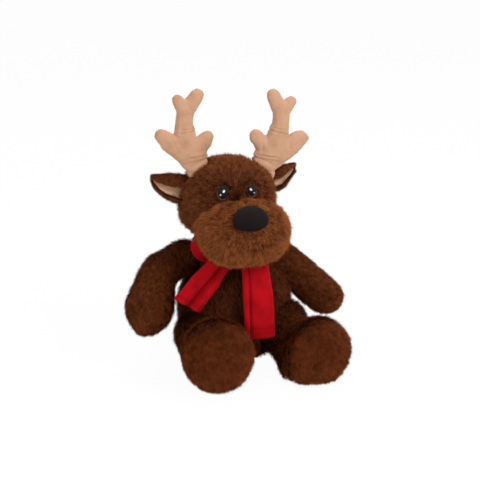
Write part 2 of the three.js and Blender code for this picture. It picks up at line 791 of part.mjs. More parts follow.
// A sewn mouth line below the nose
const mouthPoints = [-1, -0.5, 0, 0.5, 1].map((share) => {
  const x = nose.aside + (share * mouth.width) / 2;
  const z = nose.rise - mouth.drop - mouth.sag * (1 - share * share);
  const out = outOf(muzzle, x, z).multiplyScalar(seamGap + thread / 2);
  return vector(x, frontOf(muzzle, x, z), z).add(out).add(muzzleMiddle);
});
const threadRound = new THREE.Shape().absarc(0, 0, thread / 2, 0, 2 * Math.PI);
const mouthLine = new THREE.ExtrudeGeometry(threadRound, {
  steps: 2 * counts.along,
  curveSegments: counts.thread,
  extrudePath: new THREE.CatmullRomCurve3(mouthPoints),
});
addPiece(headGroup, "mouth_stitch", solid(mouthLine).subtract(muzzleBall(seamGap)), "mouthThread");

// The scarf's loop follows the neck, lower at the front, with two soft folds along its length.
function bandForm(grow) {
  const rings = Array.from({ length: 2 * counts.coarse }, (_, i) => {
    const turn = (Math.PI * i) / counts.coarse;
    const frontShare = Math.max(-Math.sin(turn), 0) ** scarf.frontPower;
    const height = THREE.MathUtils.lerp(scarf.sideHeight, scarf.frontHeight, frontShare);
    const middle = scarf.sideMiddle - scarf.frontDrop * frontShare;
    return bandOutline.map(([share, thicknessShare]) => {
      const z = middle + (height + 2 * grow) * (share - 0.5);
      const radius = bodyRadiusAt(z);
      const out = seamGap + thicknessShare * (scarf.thickness + grow);
      return vector((radius + out) * Math.cos(turn), (radius * body.depthShare + out) * Math.sin(turn), z);
    });
  });
  return solid(skinOver(rings.flat(), bandFaces(rings, true)));
}
addPiece(toy, "scarf_band", bandForm(0), "scarfFelt");

// The knot lies across the front of the loop, pinched at its middle.
function knotForm(grow) {
  const form = plumpBall(knot.width, knot.depth, knot.rise, knot.plumpShare, grow, counts.coarse);
  const place = form.attributes.position;
  for (let i = 0; i < place.count; i++) {
    const pinch = 1 - knot.pinchShare * Math.cos((Math.PI * place.getX(i)) / (knot.width + 2 * grow)) ** 2;
    place.setZ(i, place.getZ(i) * pinch);
  }
  return solid(form.translate(knot.aside, -knot.forward, knot.height));
}
addPiece(toy, "scarf_knot", knotForm(0).subtract(bandForm(seamGap)), "scarfFelt");

// Each tail of the scarf hangs in one long fold from its own hinge line.
for (const side of ["right", "left"]) {
  const cloth = tailCloths[side];
  const group = addGroup(toy, cloth.aside, -cloth.forward, cloth.height);
  const rows = Array.from({ length: tailSteps + 1 }, (_, i) => {
    const share = i / tailSteps;
    const width = THREE.MathUtils.lerp(cloth.topWidth, cloth.width, Math.min(share / tailFold.openShare, 1));
    const lean = radians(cloth.leanAngle);
    const middle = vector(-Math.sin(lean), 0, -Math.cos(lean)).multiplyScalar(cloth.length * share);
    const slant = radians(cloth.acrossAngle);
    const across = vector(Math.cos(slant), 0, -Math.sin(slant));
    const drape = -cloth.outward * Math.sin((Math.PI / 2) * share);
    const foldDepth = tailFold.depth * THREE.MathUtils.lerp(tailFold.topShare, 1, share);
    const face = (out) =>
      foldPlaces.map(([place, rise]) =>
        middle
          .clone()
          .addScaledVector(across, cloth.foldSide * width * (place - 0.5))
          .add(vector(0, drape - out - rise * foldDepth, 0)),
      );
    return [...face(scarfCloth), ...face(0).reverse()];
  });
  const knotRoom = knotForm(seamGap).translate(group.position.clone().negate().toArray());
  addPiece(group, `scarf_tail_${side}`, solid(clothOver(rows)).subtract(knotRoom), "scarfFelt");
}

export default toy;
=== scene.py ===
# A seated plush deer: fur, velour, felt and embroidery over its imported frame.
import math

import bmesh
import bpy
import numpy as np
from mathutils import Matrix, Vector
from mathutils.bvhtree import BVHTree


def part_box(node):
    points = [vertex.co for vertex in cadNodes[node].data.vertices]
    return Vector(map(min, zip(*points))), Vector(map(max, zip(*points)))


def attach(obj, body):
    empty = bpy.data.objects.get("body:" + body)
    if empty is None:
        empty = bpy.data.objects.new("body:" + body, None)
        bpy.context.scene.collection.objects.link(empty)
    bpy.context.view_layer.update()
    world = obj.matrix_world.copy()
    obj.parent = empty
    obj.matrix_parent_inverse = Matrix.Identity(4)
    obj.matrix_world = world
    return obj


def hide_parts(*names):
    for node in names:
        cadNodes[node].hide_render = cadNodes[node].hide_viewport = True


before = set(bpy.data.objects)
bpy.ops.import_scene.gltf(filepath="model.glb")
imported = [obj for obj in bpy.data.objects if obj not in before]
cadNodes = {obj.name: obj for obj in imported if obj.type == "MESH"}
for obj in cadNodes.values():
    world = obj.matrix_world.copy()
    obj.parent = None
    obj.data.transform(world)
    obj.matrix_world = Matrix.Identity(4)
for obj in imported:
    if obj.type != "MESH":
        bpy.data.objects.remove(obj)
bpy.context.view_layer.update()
mm = 0.001
sides = {"right": -1, "left": 1}
print("frame loaded:", len(cadNodes), "nodes")

# mesh helpers that all pieces share
meshing = {"merge": 0.002 * mm, "softness": 0.5}
ray = {"aim": Vector((0.31, 0.23, 0.92)).normalized(), "step": 0.01, "crossings": 40, "reach": 0.03}


def joinedForm(names):
    form = bmesh.new()
    for name in names:
        form.from_mesh(cadNodes[name].data)
    bmesh.ops.remove_doubles(form, verts=form.verts, dist=meshing["merge"])  # a CAD mesh is loose triangles
    return form


def newPiece(name, mesh):
    piece = bpy.data.objects.new(name, mesh)
    bpy.context.scene.collection.objects.link(piece)
    return piece


def pieceFromForm(name, form):
    mesh = bpy.data.meshes.new(name)
    form.to_mesh(mesh)
    form.free()
    return newPiece(name, mesh)


def pieceFromPoints(name, points, faces):
    mesh = bpy.data.meshes.new(name)
    mesh.from_pydata([tuple(p) for p in points], [], faces)
    mesh.validate()
    return newPiece(name, mesh)


def smoothFaces(piece, smooth=True):
    for face in piece.data.polygons:
        face.use_smooth = smooth
    return piece


def bakeModifiers(piece):
    seen = piece.evaluated_get(bpy.context.evaluated_depsgraph_get())
    mesh = bpy.data.meshes.new_from_object(seen)
    piece.modifiers.clear()
    old, piece.data = piece.data, mesh
    bpy.data.meshes.remove(old)
    mesh.name = piece.name
    return smoothFaces(piece)


def turnOutward(piece, merge=0.0):
    form = bmesh.new()
    form.from_mesh(piece.data)
    if merge:
        bmesh.ops.remove_doubles(form, verts=form.verts, dist=merge)
    bmesh.ops.recalc_face_normals(form, faces=form.faces)
    form.to_mesh(piece.data)
    form.free()
    return smoothFaces(piece)


def readVectors(source, key):
    found = np.zeros(len(source) * 3)
    source.foreach_get(key, found)
    return found.reshape(-1, 3)


def pointsOf(mesh):
    return readVectors(mesh.vertices, "co")


def normalsOf(mesh):
    return readVectors(mesh.vertex_normals, "vector")


def setPoints(mesh, points):
    mesh.vertices.foreach_set("co", points.astype(np.float32).ravel())
    mesh.update()


def addAttribute(mesh, name, values, kind="FLOAT"):
    key = "vector" if kind == "FLOAT_VECTOR" else "value"
    mesh.attributes.new(name, kind, "POINT").data.foreach_set(key, values)


def unit(vectors):
    return vectors / np.maximum(np.linalg.norm(vectors, axis=-1, keepdims=True), 1e-9)


def ease(values, start, end):
    share = np.clip((values - start) / (end - start), 0, 1)
    return share * share * (3 - 2 * share)


def bell(away, reach):
    return np.exp(-(away / reach) ** 2)


def awayFrom(place, points):
    return np.linalg.norm(points - place, axis=1) / mm


def keepLargest(mesh):
    form = bmesh.new()
    form.from_mesh(mesh)
    seen, islands = set(), []
    for vert in form.verts:
        if vert in seen:
            continue
        seen.add(vert)
        island, front = [], [vert]
        while front:
            here = front.pop()
            island.append(here)
            for edge in here.link_edges:
                other = edge.other_vert(here)
                if other not in seen:
                    seen.add(other)
                    front.append(other)
        islands.append(island)
    islands.sort(key=len)
    spare = [vert for island in islands[:-1] for vert in island]
    bmesh.ops.delete(form, geom=spare, context="VERTS")
    form.to_mesh(mesh)
    form.free()


def softForm(name, cadNames, voxel, rounds):
    # the sewn shell and its filling as one closed, even form
    piece = pieceFromForm(name, joinedForm(cadNames))
    even = piece.modifiers.new("even", "REMESH")
    even.mode = "VOXEL"
    even.voxel_size = voxel
    bakeModifiers(piece)
    keepLargest(piece.data)
    soften = piece.modifiers.new("soften", "SMOOTH")
    soften.factor = meshing["softness"]
    soften.iterations = rounds
    return bakeModifiers(piece)


def pushed(points, moves):
    # each move draws the form near a place along, less and less with the distance from it
    for place, reach, draw in moves:
        away = np.linalg.norm(points / mm - np.array(place), axis=1)
        points = points + bell(away, reach)[:, None] * np.array(draw) * mm
    return points


def nearestTo(piece):
    form = bmesh.new()
    form.from_mesh(piece.data)
    tree = BVHTree.FromBMesh(form)
    form.free()
    return tree


def isInside(tree, point):
    # a ray from inside a closed form leaves it an odd number of times
    start, crossings = point, 0
    while crossings < ray["crossings"]:
        place = tree.ray_cast(start, ray["aim"])[0]
        if place is None:
            return crossings % 2 == 1
        crossings += 1
        start = place + ray["aim"] * ray["step"] * mm
    return False


def depthsFrom(tree, points):
    # signed distance to a closed form, below 0 inside it
    found = np.full(len(points), 1.0)
    for i, point in enumerate(points):
        here = Vector(point)
        place, _, _, distance = tree.find_nearest(here, ray["reach"])
        if place is not None:
            found[i] = -distance if isInside(tree, here) else distance
    return found


# colour and node helpers that all finishes share
def colour(red, green, blue):
    def straight(value):
        value = value / 255
        return value / 12.92 if value <= 0.04045 else ((value + 0.055) / 1.055) ** 2.4
    return (straight(red), straight(green), straight(blue), 1)


def newMaterial(name):
    material = bpy.data.materials.new(name)
    material.use_nodes = True
    tree = material.node_tree
    return material, tree, tree.nodes["Principled BSDF"]


def addNode(tree, kind, **settings):
    node = tree.nodes.new(kind)
    for key, value in settings.items():
        setattr(node, key, value)
    return node


def feed(tree, socket, value):
    # a socket takes a link or a plain value
    if isinstance(value, bpy.types.NodeSocket):
        tree.links.new(value, socket)
    elif value is not None:
        socket.default_value = value


def feedAll(tree, node, values):
    for name, value in values.items():
        feed(tree, node.inputs[name], value)


def mathNode(tree, operation, *values):
    node = addNode(tree, "ShaderNodeMath", operation=operation)
    for socket, value in zip(node.inputs, values):
        feed(tree, socket, value)
    return node.outputs[0]


def vectorNode(tree, operation, first, second=None, scale=None):
    node = addNode(tree, "ShaderNodeVectorMath", operation=operation)
    feed(tree, node.inputs[0], first)
    feed(tree, node.inputs[1], second)
    if scale is not None:
        feed(tree, node.inputs["Scale"], scale)
    return node.outputs[0]


def rampNode(tree, value, stops):
    node = addNode(tree, "ShaderNodeValToRGB")
    ramp = node.color_ramp
    while len(ramp.elements) < len(stops):
        ramp.elements.new(0.5)
    for element, (place, shade) in zip(ramp.elements, stops):
        element.position = place
        element.color = colour(*shade)
    feed(tree, node.inputs["Fac"], value)
    return node.outputs["Color"]


def objectPlace(tree):
    return addNode(tree, "ShaderNodeTexCoord").outputs["Object"]


def attributeOn(tree, name):
    return addNode(tree, "ShaderNodeAttribute", attribute_name=name).outputs["Fac"]


def noiseOn(tree, place, scale, detail=2.0, roughness=0.5):
    node = addNode(tree, "ShaderNodeTexNoise")
    feedAll(tree, node, {"Scale": scale, "Detail": detail, "Roughness": roughness, "Vector": place})
    return node.outputs["Fac"]


def waveOn(tree, place, direction, scale, distortion, detail):
    node = addNode(tree, "ShaderNodeTexWave", bands_direction=direction, wave_profile="SIN")
    feedAll(tree, node, {"Scale": scale, "Distortion": distortion, "Detail": detail, "Vector": place})
    return node.outputs["Fac"]


def bumpOn(tree, shader, height, strength, distance):
    node = addNode(tree, "ShaderNodeBump")
    feedAll(tree, node, {"Strength": strength, "Distance": distance * mm, "Height": height})
    feed(tree, shader.inputs["Normal"], node.outputs["Normal"])


def mixShaders(tree, share, first, second, output):
    node = addNode(tree, "ShaderNodeMixShader")
    for socket, value in zip(node.inputs, (share, first.outputs[0], second.outputs[0])):
        feed(tree, socket, value)
    feed(tree, tree.nodes[output].inputs["Surface"], node.outputs[0])


# fur: the shades of a strand, and how the pile and the cloth that carries it take the light
furShades = {
    "body_fur": {"root": (26, 9, 4), "middle": (79, 34, 16), "tip": (152, 83, 43)},
    "head_fur": {"root": (28, 9, 5), "middle": (84, 39, 19), "tip": (160, 93, 51)},
    "muzzle_fur": {"root": (36, 14, 7), "middle": (106, 52, 26), "tip": (186, 112, 62)},
    "sole_fur": {"root": (27, 10, 5), "middle": (80, 34, 15), "tip": (144, 75, 37)},
    "ear_lining": {"root": (250, 204, 168), "middle": (255, 218, 186), "tip": (255, 230, 206)},
}
pileFinish = {
    "middleAt": 0.38, "tipAt": 0.88, "patchScale": 45.0, "patchDetail": 3.0, "patchGain": 0.7, "patchLeast": 0.85,
    "tintGain": 0.95, "tintLeast": 0.33, "roughness": 0.7, "specular": 0.06, "seenThrough": 0.35,
}
backingFinish = {"grainScale": 900.0, "grainDetail": 3.0, "rootAt": 0.3, "middleAt": 0.8, "roughness": 0.95,
                 "specular": 0.05, "bump": 0.8, "bumpDepth": 1.2}


def pileMaterial(slot):
    shades, look = furShades[slot], pileFinish
    material, tree, shader = newMaterial(slot + "_pile")
    stops = [(0.0, shades["root"]), (look["middleAt"], shades["middle"]), (look["tipAt"], shades["tip"])]
    strand = rampNode(tree, attributeOn(tree, "along"), stops)
    patches = noiseOn(tree, objectPlace(tree), look["patchScale"], look["patchDetail"])
    patches = mathNode(tree, "MULTIPLY_ADD", patches, look["patchGain"], look["patchLeast"])
    light = mathNode(tree, "MULTIPLY_ADD", attributeOn(tree, "tint"), look["tintGain"], look["tintLeast"])
    shaded = vectorNode(tree, "SCALE", strand, scale=mathNode(tree, "MULTIPLY", light, patches))
    feedAll(tree, shader, {"Base Color": shaded, "Roughness": look["roughness"],
                           "Specular IOR Level": look["specular"]})
    through = addNode(tree, "ShaderNodeBsdfTranslucent")  # thin strands let some light through
    feed(tree, through.inputs["Color"], shaded)
    mixShaders(tree, look["seenThrough"], shader, through, "Material Output")
    return material


def backingMaterial(slot):
    shades, look = furShades[slot], backingFinish
    material, tree, shader = newMaterial(slot + "_backing")
    grain = noiseOn(tree, objectPlace(tree), look["grainScale"], look["grainDetail"])
    shade = rampNode(tree, grain, [(look["rootAt"], shades["root"]), (look["middleAt"], shades["middle"])])
    feedAll(tree, shader, {"Base Color": shade, "Roughness": look["roughness"],
                           "Specular IOR Level": look["specular"]})
    bumpOn(tree, shader, grain, look["bump"], look["bumpDepth"])
    return material


# one blade of pile, one unit long and wide, which the fur tree scales
blade = {"bend": 0.22, "middle": 0.5, "middleWidth": 0.8, "tipHeight": 0.94}


def bladePiece():
    half, bend, middle = 0.5, blade["bend"], blade["middle"]
    points = []
    for height, width in ((0.0, 1.0), (middle, blade["middleWidth"])):
        points += [(bend * height ** 2, -half * width, height), (bend * height ** 2, half * width, height)]
    points.append((bend, 0.0, blade["tipHeight"]))
    piece = pieceFromPoints("blade", points, [(0, 1, 3, 2), (2, 3, 4)])
    addAttribute(piece.data, "along", [0.0, 0.0, middle, middle, 1.0])
    piece.hide_render = True
    return piece


# how the strands vary in their clumps, locks, lengths and tints; lowest is their least height over the table in mm
planting = {
    "clumpDetail": 2.0, "lockScale": 520.0, "lockDetail": 1.0, "tuftGain": 2.2, "tuftDrop": -1.7, "tuftShare": 0.5,
    "shortest": 0.7, "longest": 1.08, "straySeed": 5, "lengthSeed": 8, "tintSeed": 13, "lowest": 0.3,
}


def furTree():
    tree = bpy.data.node_groups.new("plant fur", "GeometryNodeTree")
    floats = ["Density", "Length", "Width", "Lift", "Clump", "Clump Scale", "Stray"]
    kinds = {"Geometry": "Geometry", **{name: "Float" for name in floats}, "Seed": "Int", "Blade": "Object",
             "Finish": "Material"}
    for name, kind in kinds.items():
        tree.interface.new_socket(name=name, in_out="INPUT", socket_type="NodeSocket" + kind)
    tree.interface.new_socket(name="Geometry", in_out="OUTPUT", socket_type="NodeSocketGeometry")
    source = addNode(tree, "NodeGroupInput").outputs
    result = addNode(tree, "NodeGroupOutput")

    def named(name, kind):
        node = addNode(tree, "GeometryNodeInputNamedAttribute", data_type=kind)
        node.inputs["Name"].default_value = name
        return node.outputs["Attribute"]

    def randomFloat(low, high, seed):
        node = addNode(tree, "FunctionNodeRandomValue", data_type="FLOAT")
        feed(tree, node.inputs[2], low)
        feed(tree, node.inputs[3], high)
        feed(tree, node.inputs["Seed"], seed)
        return node.outputs[1]

    def noiseHere(scale, detail):
        node = addNode(tree, "ShaderNodeTexNoise")
        place = addNode(tree, "GeometryNodeInputPosition").outputs[0]
        feedAll(tree, node, {"Vector": place, "Scale": scale, "Detail": detail})
        return node.outputs

    comb = named("comb", "FLOAT_VECTOR")
    plant = addNode(tree, "GeometryNodeDistributePointsOnFaces", distribute_method="RANDOM")
    density = mathNode(tree, "MULTIPLY", source["Density"], named("furShare", "FLOAT"))
    feedAll(tree, plant, {"Mesh": source["Geometry"], "Density": density, "Seed": source["Seed"]})

    # a strand leans with the comb, its clump and a little of its own
    clump = noiseHere(source["Clump Scale"], planting["clumpDetail"])
    lean = vectorNode(tree, "SUBTRACT", clump["Color"], (0.5, 0.5, 0.5))
    lean = vectorNode(tree, "SCALE", lean, scale=source["Clump"])
    stray = addNode(tree, "FunctionNodeRandomValue", data_type="FLOAT_VECTOR")
    feed(tree, stray.inputs[0], (-1, -1, -1))
    feed(tree, stray.inputs[1], (1, 1, 1))
    feed(tree, stray.inputs["Seed"], planting["straySeed"])
    strayed = vectorNode(tree, "SCALE", stray.outputs[0], scale=source["Stray"])
    lifted = vectorNode(tree, "SCALE", plant.outputs["Normal"], scale=source["Lift"])
    laid = vectorNode(tree, "SCALE", comb, scale=mathNode(tree, "SUBTRACT", 1.0, source["Lift"]))
    aim = vectorNode(tree, "ADD", vectorNode(tree, "ADD", lifted, laid), lean)
    aim = vectorNode(tree, "NORMALIZE", vectorNode(tree, "ADD", aim, strayed))
    upright = addNode(tree, "FunctionNodeAlignRotationToVector", axis="Z")
    feed(tree, upright.inputs["Vector"], aim)
    turned = addNode(tree, "FunctionNodeAlignRotationToVector", axis="X", pivot_axis="Z")
    feedAll(tree, turned, {"Rotation": upright.outputs[0], "Vector": vectorNode(tree, "ADD", comb, strayed)})

    size = mathNode(tree, "MULTIPLY", source["Length"], named("furLength", "FLOAT"))
    variation = randomFloat(planting["shortest"], planting["longest"], planting["lengthSeed"])
    size = mathNode(tree, "MULTIPLY", size, variation)
    scale = addNode(tree, "ShaderNodeCombineXYZ")
    feedAll(tree, scale, {"X": size, "Y": source["Width"], "Z": size})
    shape = addNode(tree, "GeometryNodeObjectInfo")
    feed(tree, shape.inputs["Object"], source["Blade"])
    stand = addNode(tree, "GeometryNodeInstanceOnPoints")
    feedAll(tree, stand, {"Points": plant.outputs["Points"], "Instance": shape.outputs["Geometry"],
                          "Rotation": turned.outputs[0], "Scale": scale.outputs[0]})

    # neighbouring strands share a tint, so that locks show
    locks = noiseHere(planting["lockScale"], planting["lockDetail"])
    tuft = mathNode(tree, "ADD", locks["Fac"], clump["Fac"])
    tuft = mathNode(tree, "MULTIPLY_ADD", tuft, planting["tuftGain"], planting["tuftDrop"])
    tuft = mathNode(tree, "MULTIPLY", tuft, planting["tuftShare"])
    own = randomFloat(0.0, 1.0, planting["tintSeed"])
    tint = addNode(tree, "GeometryNodeStoreNamedAttribute", data_type="FLOAT", domain="INSTANCE")
    feedAll(tree, tint, {"Name": "tint", "Geometry": stand.outputs[0],
                         "Value": mathNode(tree, "MULTIPLY_ADD", own, 1 - planting["tuftShare"], tuft)})
    real = addNode(tree, "GeometryNodeRealizeInstances")
    feed(tree, real.inputs[0], tint.outputs[0])

    place = addNode(tree, "ShaderNodeSeparateXYZ")  # no strand goes below the table
    feed(tree, place.inputs[0], addNode(tree, "GeometryNodeInputPosition").outputs[0])
    floored = addNode(tree, "ShaderNodeCombineXYZ")
    feedAll(tree, floored, {"X": place.outputs["X"], "Y": place.outputs["Y"],
                            "Z": mathNode(tree, "MAXIMUM", place.outputs["Z"], planting["lowest"] * mm)})
    settle = addNode(tree, "GeometryNodeSetPosition")
    feedAll(tree, settle, {"Geometry": real.outputs[0], "Position": floored.outputs[0]})
    finish = addNode(tree, "GeometryNodeSetMaterial")
    feedAll(tree, finish, {"Geometry": settle.outputs[0], "Material": source["Finish"]})
    feed(tree, result.inputs[0], finish.outputs[0])
    return tree


furBlade = bladePiece()
furPlanter = furTree()


def setInputs(modifier, values):
    for item in modifier.node_group.interface.items_tree:
        if item.item_type == "SOCKET" and item.in_out == "INPUT" and item.name in values:
            modifier[item.identifier] = values[item.name]


def exposedArea(mesh, share):
    total = 0.0
    for face in mesh.polygons:
        total += face.area * float(np.mean([share[i] for i in face.vertices]))
    return total


def plantFur(name, base, comb, share, lengths, look, slot, seed):
    mesh = base.data
    normals = normalsOf(mesh)
    tangent = unit(comb - normals * np.sum(comb * normals, axis=1, keepdims=True))
    carrier = newPiece(name, mesh.copy())
    addAttribute(carrier.data, "comb", tangent.ravel(), "FLOAT_VECTOR")
    addAttribute(carrier.data, "furShare", share)
    addAttribute(carrier.data, "furLength", lengths)
    modifier = carrier.modifiers.new("fur", "NODES")
    modifier.node_group = furPlanter
    setInputs(modifier, {
        "Density": look["strands"] / exposedArea(mesh, share),
        "Length": look["length"] * mm,
        "Width": look["width"] * mm,
        "Lift": look["lift"],
        "Clump": look["clump"],
        "Clump Scale": look["clumpScale"],
        "Stray": look["stray"],
        "Seed": seed,
        "Blade": furBlade,
        "Finish": pileFinishes[slot],
    })
    bakeModifiers(carrier)
    smoothFaces(carrier, False)
    print("fur planted:", name, len(carrier.data.polygons), "faces")
    return carrier


pileFinishes = {slot: pileMaterial(slot) for slot in furShades}
backings = {slot: backingMaterial(slot) for slot in furShades}

# stuffed forms under the fur; inset is how far a form's skin lies below the tips of its pile, in mm
furLook = {"width": 0.38, "clump": 1.25, "clumpScale": 260.0, "stray": 0.16}
piles = {
    "body": {"length": 8.5, "lift": 0.4, "inset": 3.4},
    "head": {"length": 9.5, "lift": 0.44, "inset": 5.0},
    "muzzle": {"length": 11.0, "lift": 0.44, "inset": 5.2},
    "limb": {"length": 8.0, "lift": 0.42, "inset": 2.8},
    "tail": {"length": 7.5, "lift": 0.5, "inset": 1.0},
}
# where the filling bulges: place, reach and draw in mm
bulges = {
    "body": [((-40, 0, 125), 18, (-3, 0, 6)), ((-42, -12, 122), 14, (-5, -3, 6)), ((58, -10, 62), 20, (4, 0, 0)),
             ((52, -5, 88), 20, (5, 0, 0)), ((-62, -10, 72), 22, (-2.5, 0, 0))],
    "head": [((-58, -5, 160), 16, (-3, 0, -2)), ((-50, -35, 162), 14, (-1, -4, 1))],
    "muzzle": [((-50, -40, 144), 14, (6, 0, 0)), ((-40, -44, 128), 16, (9, 0, 4)),
               ((-14, -55, 116), 28, (0, 0, 6)), ((18, -55, 116), 24, (0, 0, 3)),
               ((50, -45, 152), 18, (1.5, 0, 0))],
    "arm_right": [((-62, 2, 122), 20, (0, 0, 9)), ((-46, -4, 124), 12, (7, -4, 4)),
                  ((-90, -5, 108), 16, (-4, 0, 3)), ((-102, -25, 42), 22, (-3, -1, -6))],
    "arm_left": [((58, 0, 84), 16, (-2, 0, -4)), ((74, -5, 64), 22, (-4, 0, -7)), ((92, -8, 48), 16, (-1, 0, -3))],
    "leg_right": [((-72, -84, 6), 16, (-2, -4, 0))],
    "leg_left": [((66, -30, 50), 20, (2, 0, 8)), ((33, -92, 6), 20, (-12, -15, 0)),
                 ((45, -105, 6), 18, (-2, -7, 0))],
    "band": [((-42, -12, 130), 18, (-18, -8, 15)), ((-42, -18, 122), 12, (-6, -3, -2)),
             ((-5, -42, 106), 26, (0, 4, 7))],
    "knot": [((-8, -44, 108), 30, (0, 2, 6))],
}
stuffed = {
    "body": {"nodes": ["body_skin", "body_stuffing", "bean_pouch"], "rides": "torso", "slot": "body_fur",
             "pile": "body", "strands": 65000, "fill": 0.7},
    "head": {"nodes": ["head_skin", "head_stuffing"], "rides": "head", "slot": "head_fur",
             "pile": "head", "strands": 65000, "fill": 0.85},
    "muzzle": {"nodes": ["muzzle_skin", "muzzle_stuffing"], "rides": "head", "slot": "muzzle_fur",
               "pile": "muzzle", "strands": 65000, "fill": 0.85},
    "tail": {"nodes": ["tail"], "rides": "tail_end", "slot": "body_fur",
             "pile": "tail", "strands": 8000, "fill": 0.7, "voxel": 1.4, "rounds": 6},
}
for side in sides:
    stuffed["arm_" + side] = {
        "nodes": [f"arm_skin_{side}", f"arm_stuffing_{side}"], "rides": "arm_" + side, "slot": "body_fur",
        "pile": "limb", "strands": 48000, "fill": 0.7}
    stuffed["leg_" + side] = {
        "nodes": [f"leg_skin_{side}", f"leg_stuffing_{side}", f"sole_panel_{side}"], "rides": "leg_" + side,
        "slot": "body_fur", "pile": "limb", "strands": 42000, "fill": 0.75}

stuffing = {"voxel": 3.0, "rounds": 10}
# where the skin comes up to the tips: on the table, round the eyes and round the nose
insets = {"floor": 0.8, "floorTurn": (0.3, 0.8), "floorHeight": (3, 14), "eye": 0.4, "eyeReach": (9, 20),
          "nose": 2.0, "noseReach": (19, 34)}
headMiddle = np.array([-8.0, -4.0, 177.0]) * mm
muzzleMiddle = np.array([-5.0, -45.0, 149.0]) * mm


def middleOf(names):
    lows, highs = zip(*(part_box(name) for name in names))
    return (np.min(np.array(lows), axis=0) + np.max(np.array(highs), axis=0)) / 2


eyeMiddles = [middleOf([f"eye_iris_{side}"]) for side in sides]
noseMiddle = middleOf(["nose_cover"])

bases = {}
for name, facts in stuffed.items():
    voxel, rounds = (facts.get(key, stuffing[key]) for key in ("voxel", "rounds"))
    base = softForm(name + "_form", facts["nodes"], voxel * mm, rounds)
    points, normals = pointsOf(base.data), normalsOf(base.data)
    full = piles[facts["pile"]]["inset"]
    inset = np.full(len(points), full)
    floorward = ease(-normals[:, 2], *insets["floorTurn"]) * (1 - ease(points[:, 2] / mm, *insets["floorHeight"]))
    inset += (insets["floor"] - inset) * floorward
    if name in ("head", "muzzle"):
        for middle in eyeMiddles:
            near = ease(awayFrom(middle, points), *insets["eyeReach"])
            inset = np.minimum(inset, insets["eye"] + (full - insets["eye"]) * near)
    if name == "muzzle":
        near = ease(awayFrom(noseMiddle, points), *insets["noseReach"])
        inset = np.minimum(inset, insets["nose"] + (full - insets["nose"]) * near)
    setPoints(base.data, pushed(points - normals * inset[:, None] * mm, bulges.get(name, [])))
    bases[name] = base
print("stuffed forms made:", len(bases))

# each ear is a leaf bent over its upper edge: at each station from the root to the tip, x, the height of the bend
# and the depth below it, in mm
ears = {
    "thickness": 1.7, "liningThickness": 1.2, "gap": 0.1, "y": 6.0, "samples": 30, "rows": 34,
    "rimPower": 0.35, "rimLeast": 0.25, "rimOverrun": 0.02,
    "right": [(-44, 200, 22), (-52, 202.5, 26), (-60, 204.8, 28), (-68, 206, 26.5), (-77, 206.6, 23),
              (-84.5, 207, 17), (-88.5, 207, 10)],
    "left": [(34, 196, 14), (42, 200, 18), (48, 203, 21.5), (55, 205, 21), (61, 206.6, 17.5), (67, 207.8, 13.5),
             (71.5, 208, 8.5)],
}
# the bend seen from the side: share of the depth forward and up, from the lower edge to the end of the upper flap
bendShape = [(-0.6, -0.84), (-0.38, -0.98), (-0.1, -0.93), (0.08, -0.64), (0.1, -0.24), (-0.01, -0.03),
             (-0.14, -0.01), (-0.23, -0.16), (-0.25, -0.36)]


def smoothRow(values, count):
    # a smooth curve through all the values
    values = np.array(values, float)
    ends = np.concatenate([[2 * values[0] - values[1]], values, [2 * values[-1] - values[-2]]])
    at = np.linspace(0, len(values) - 1, count)
    i = np.minimum(at.astype(int), len(values) - 2)
    t = (at - i)[:, None] if values.ndim > 1 else at - i
    before, first, second, after = ends[i], ends[i + 1], ends[i + 2], ends[i + 3]
    return 0.5 * (2 * first + (second - before) * t + (2 * before - 5 * first + 4 * second - after) * t ** 2
                  + (3 * first - before - 3 * second + after) * t ** 3)


def leafPiece(name, rows, outer, inner):
    # a closed sheet between two distances from the rows, thinner at its rim
    count, size = len(rows), len(rows[0])
    normals = unit(np.cross(np.gradient(rows, axis=0), np.gradient(rows, axis=1)))
    if np.mean(normals[:, size // 2, 2]) < 0:
        normals = -normals
    over = ears["rimOverrun"]
    rim = np.sin(np.pi * np.clip(np.linspace(-over, 1 + over, size), 0.0, 1.0)) ** ears["rimPower"]
    rim = np.clip(rim, ears["rimLeast"], 1)[None, :, None] * np.ones((count, 1, 1))
    middle = rows + normals * (outer + inner) / 2
    reach = (outer - inner) / 2 * rim
    sheets = [middle + normals * reach, middle - normals * reach]
    points = np.concatenate([sheet.reshape(-1, 3) for sheet in sheets]) * mm
    total = count * size
    faces = []
    for i in range(count - 1):
        for j in range(size - 1):
            a, b = i * size + j, (i + 1) * size + j
            faces.append((a, a + 1, b + 1, b))
            faces.append((total + a, total + b, total + b + 1, total + a + 1))
        for j in (0, size - 1):
            a, b = i * size + j, (i + 1) * size + j
            faces.append((a, b, total + b, total + a))
    for i in (0, count - 1):
        for j in range(size - 1):
            a = i * size + j
            faces.append((a, a + 1, total + a + 1, total + a))
    return turnOutward(pieceFromPoints(name, points, faces))


earBacks, earLinings = {}, {}
for side in sides:
    stations = smoothRow(ears[side], ears["rows"])
    curve = smoothRow(bendShape, ears["samples"])
    rows = np.zeros((len(stations), len(curve), 3))
    for i, (x, height, depth) in enumerate(stations):
        rows[i, :, 0] = x
        rows[i, :, 1] = ears["y"] + curve[:, 0] * depth
        rows[i, :, 2] = height + curve[:, 1] * depth
    thick, gap = ears["thickness"], ears["gap"]
    earBacks[side] = leafPiece("ear_back_form_" + side, rows, 0.0, -thick)
    liningInner = -thick - gap - ears["liningThickness"]
    earLinings[side] = leafPiece("ear_lining_form_" + side, rows, -thick - gap, liningInner)
print("ears made")

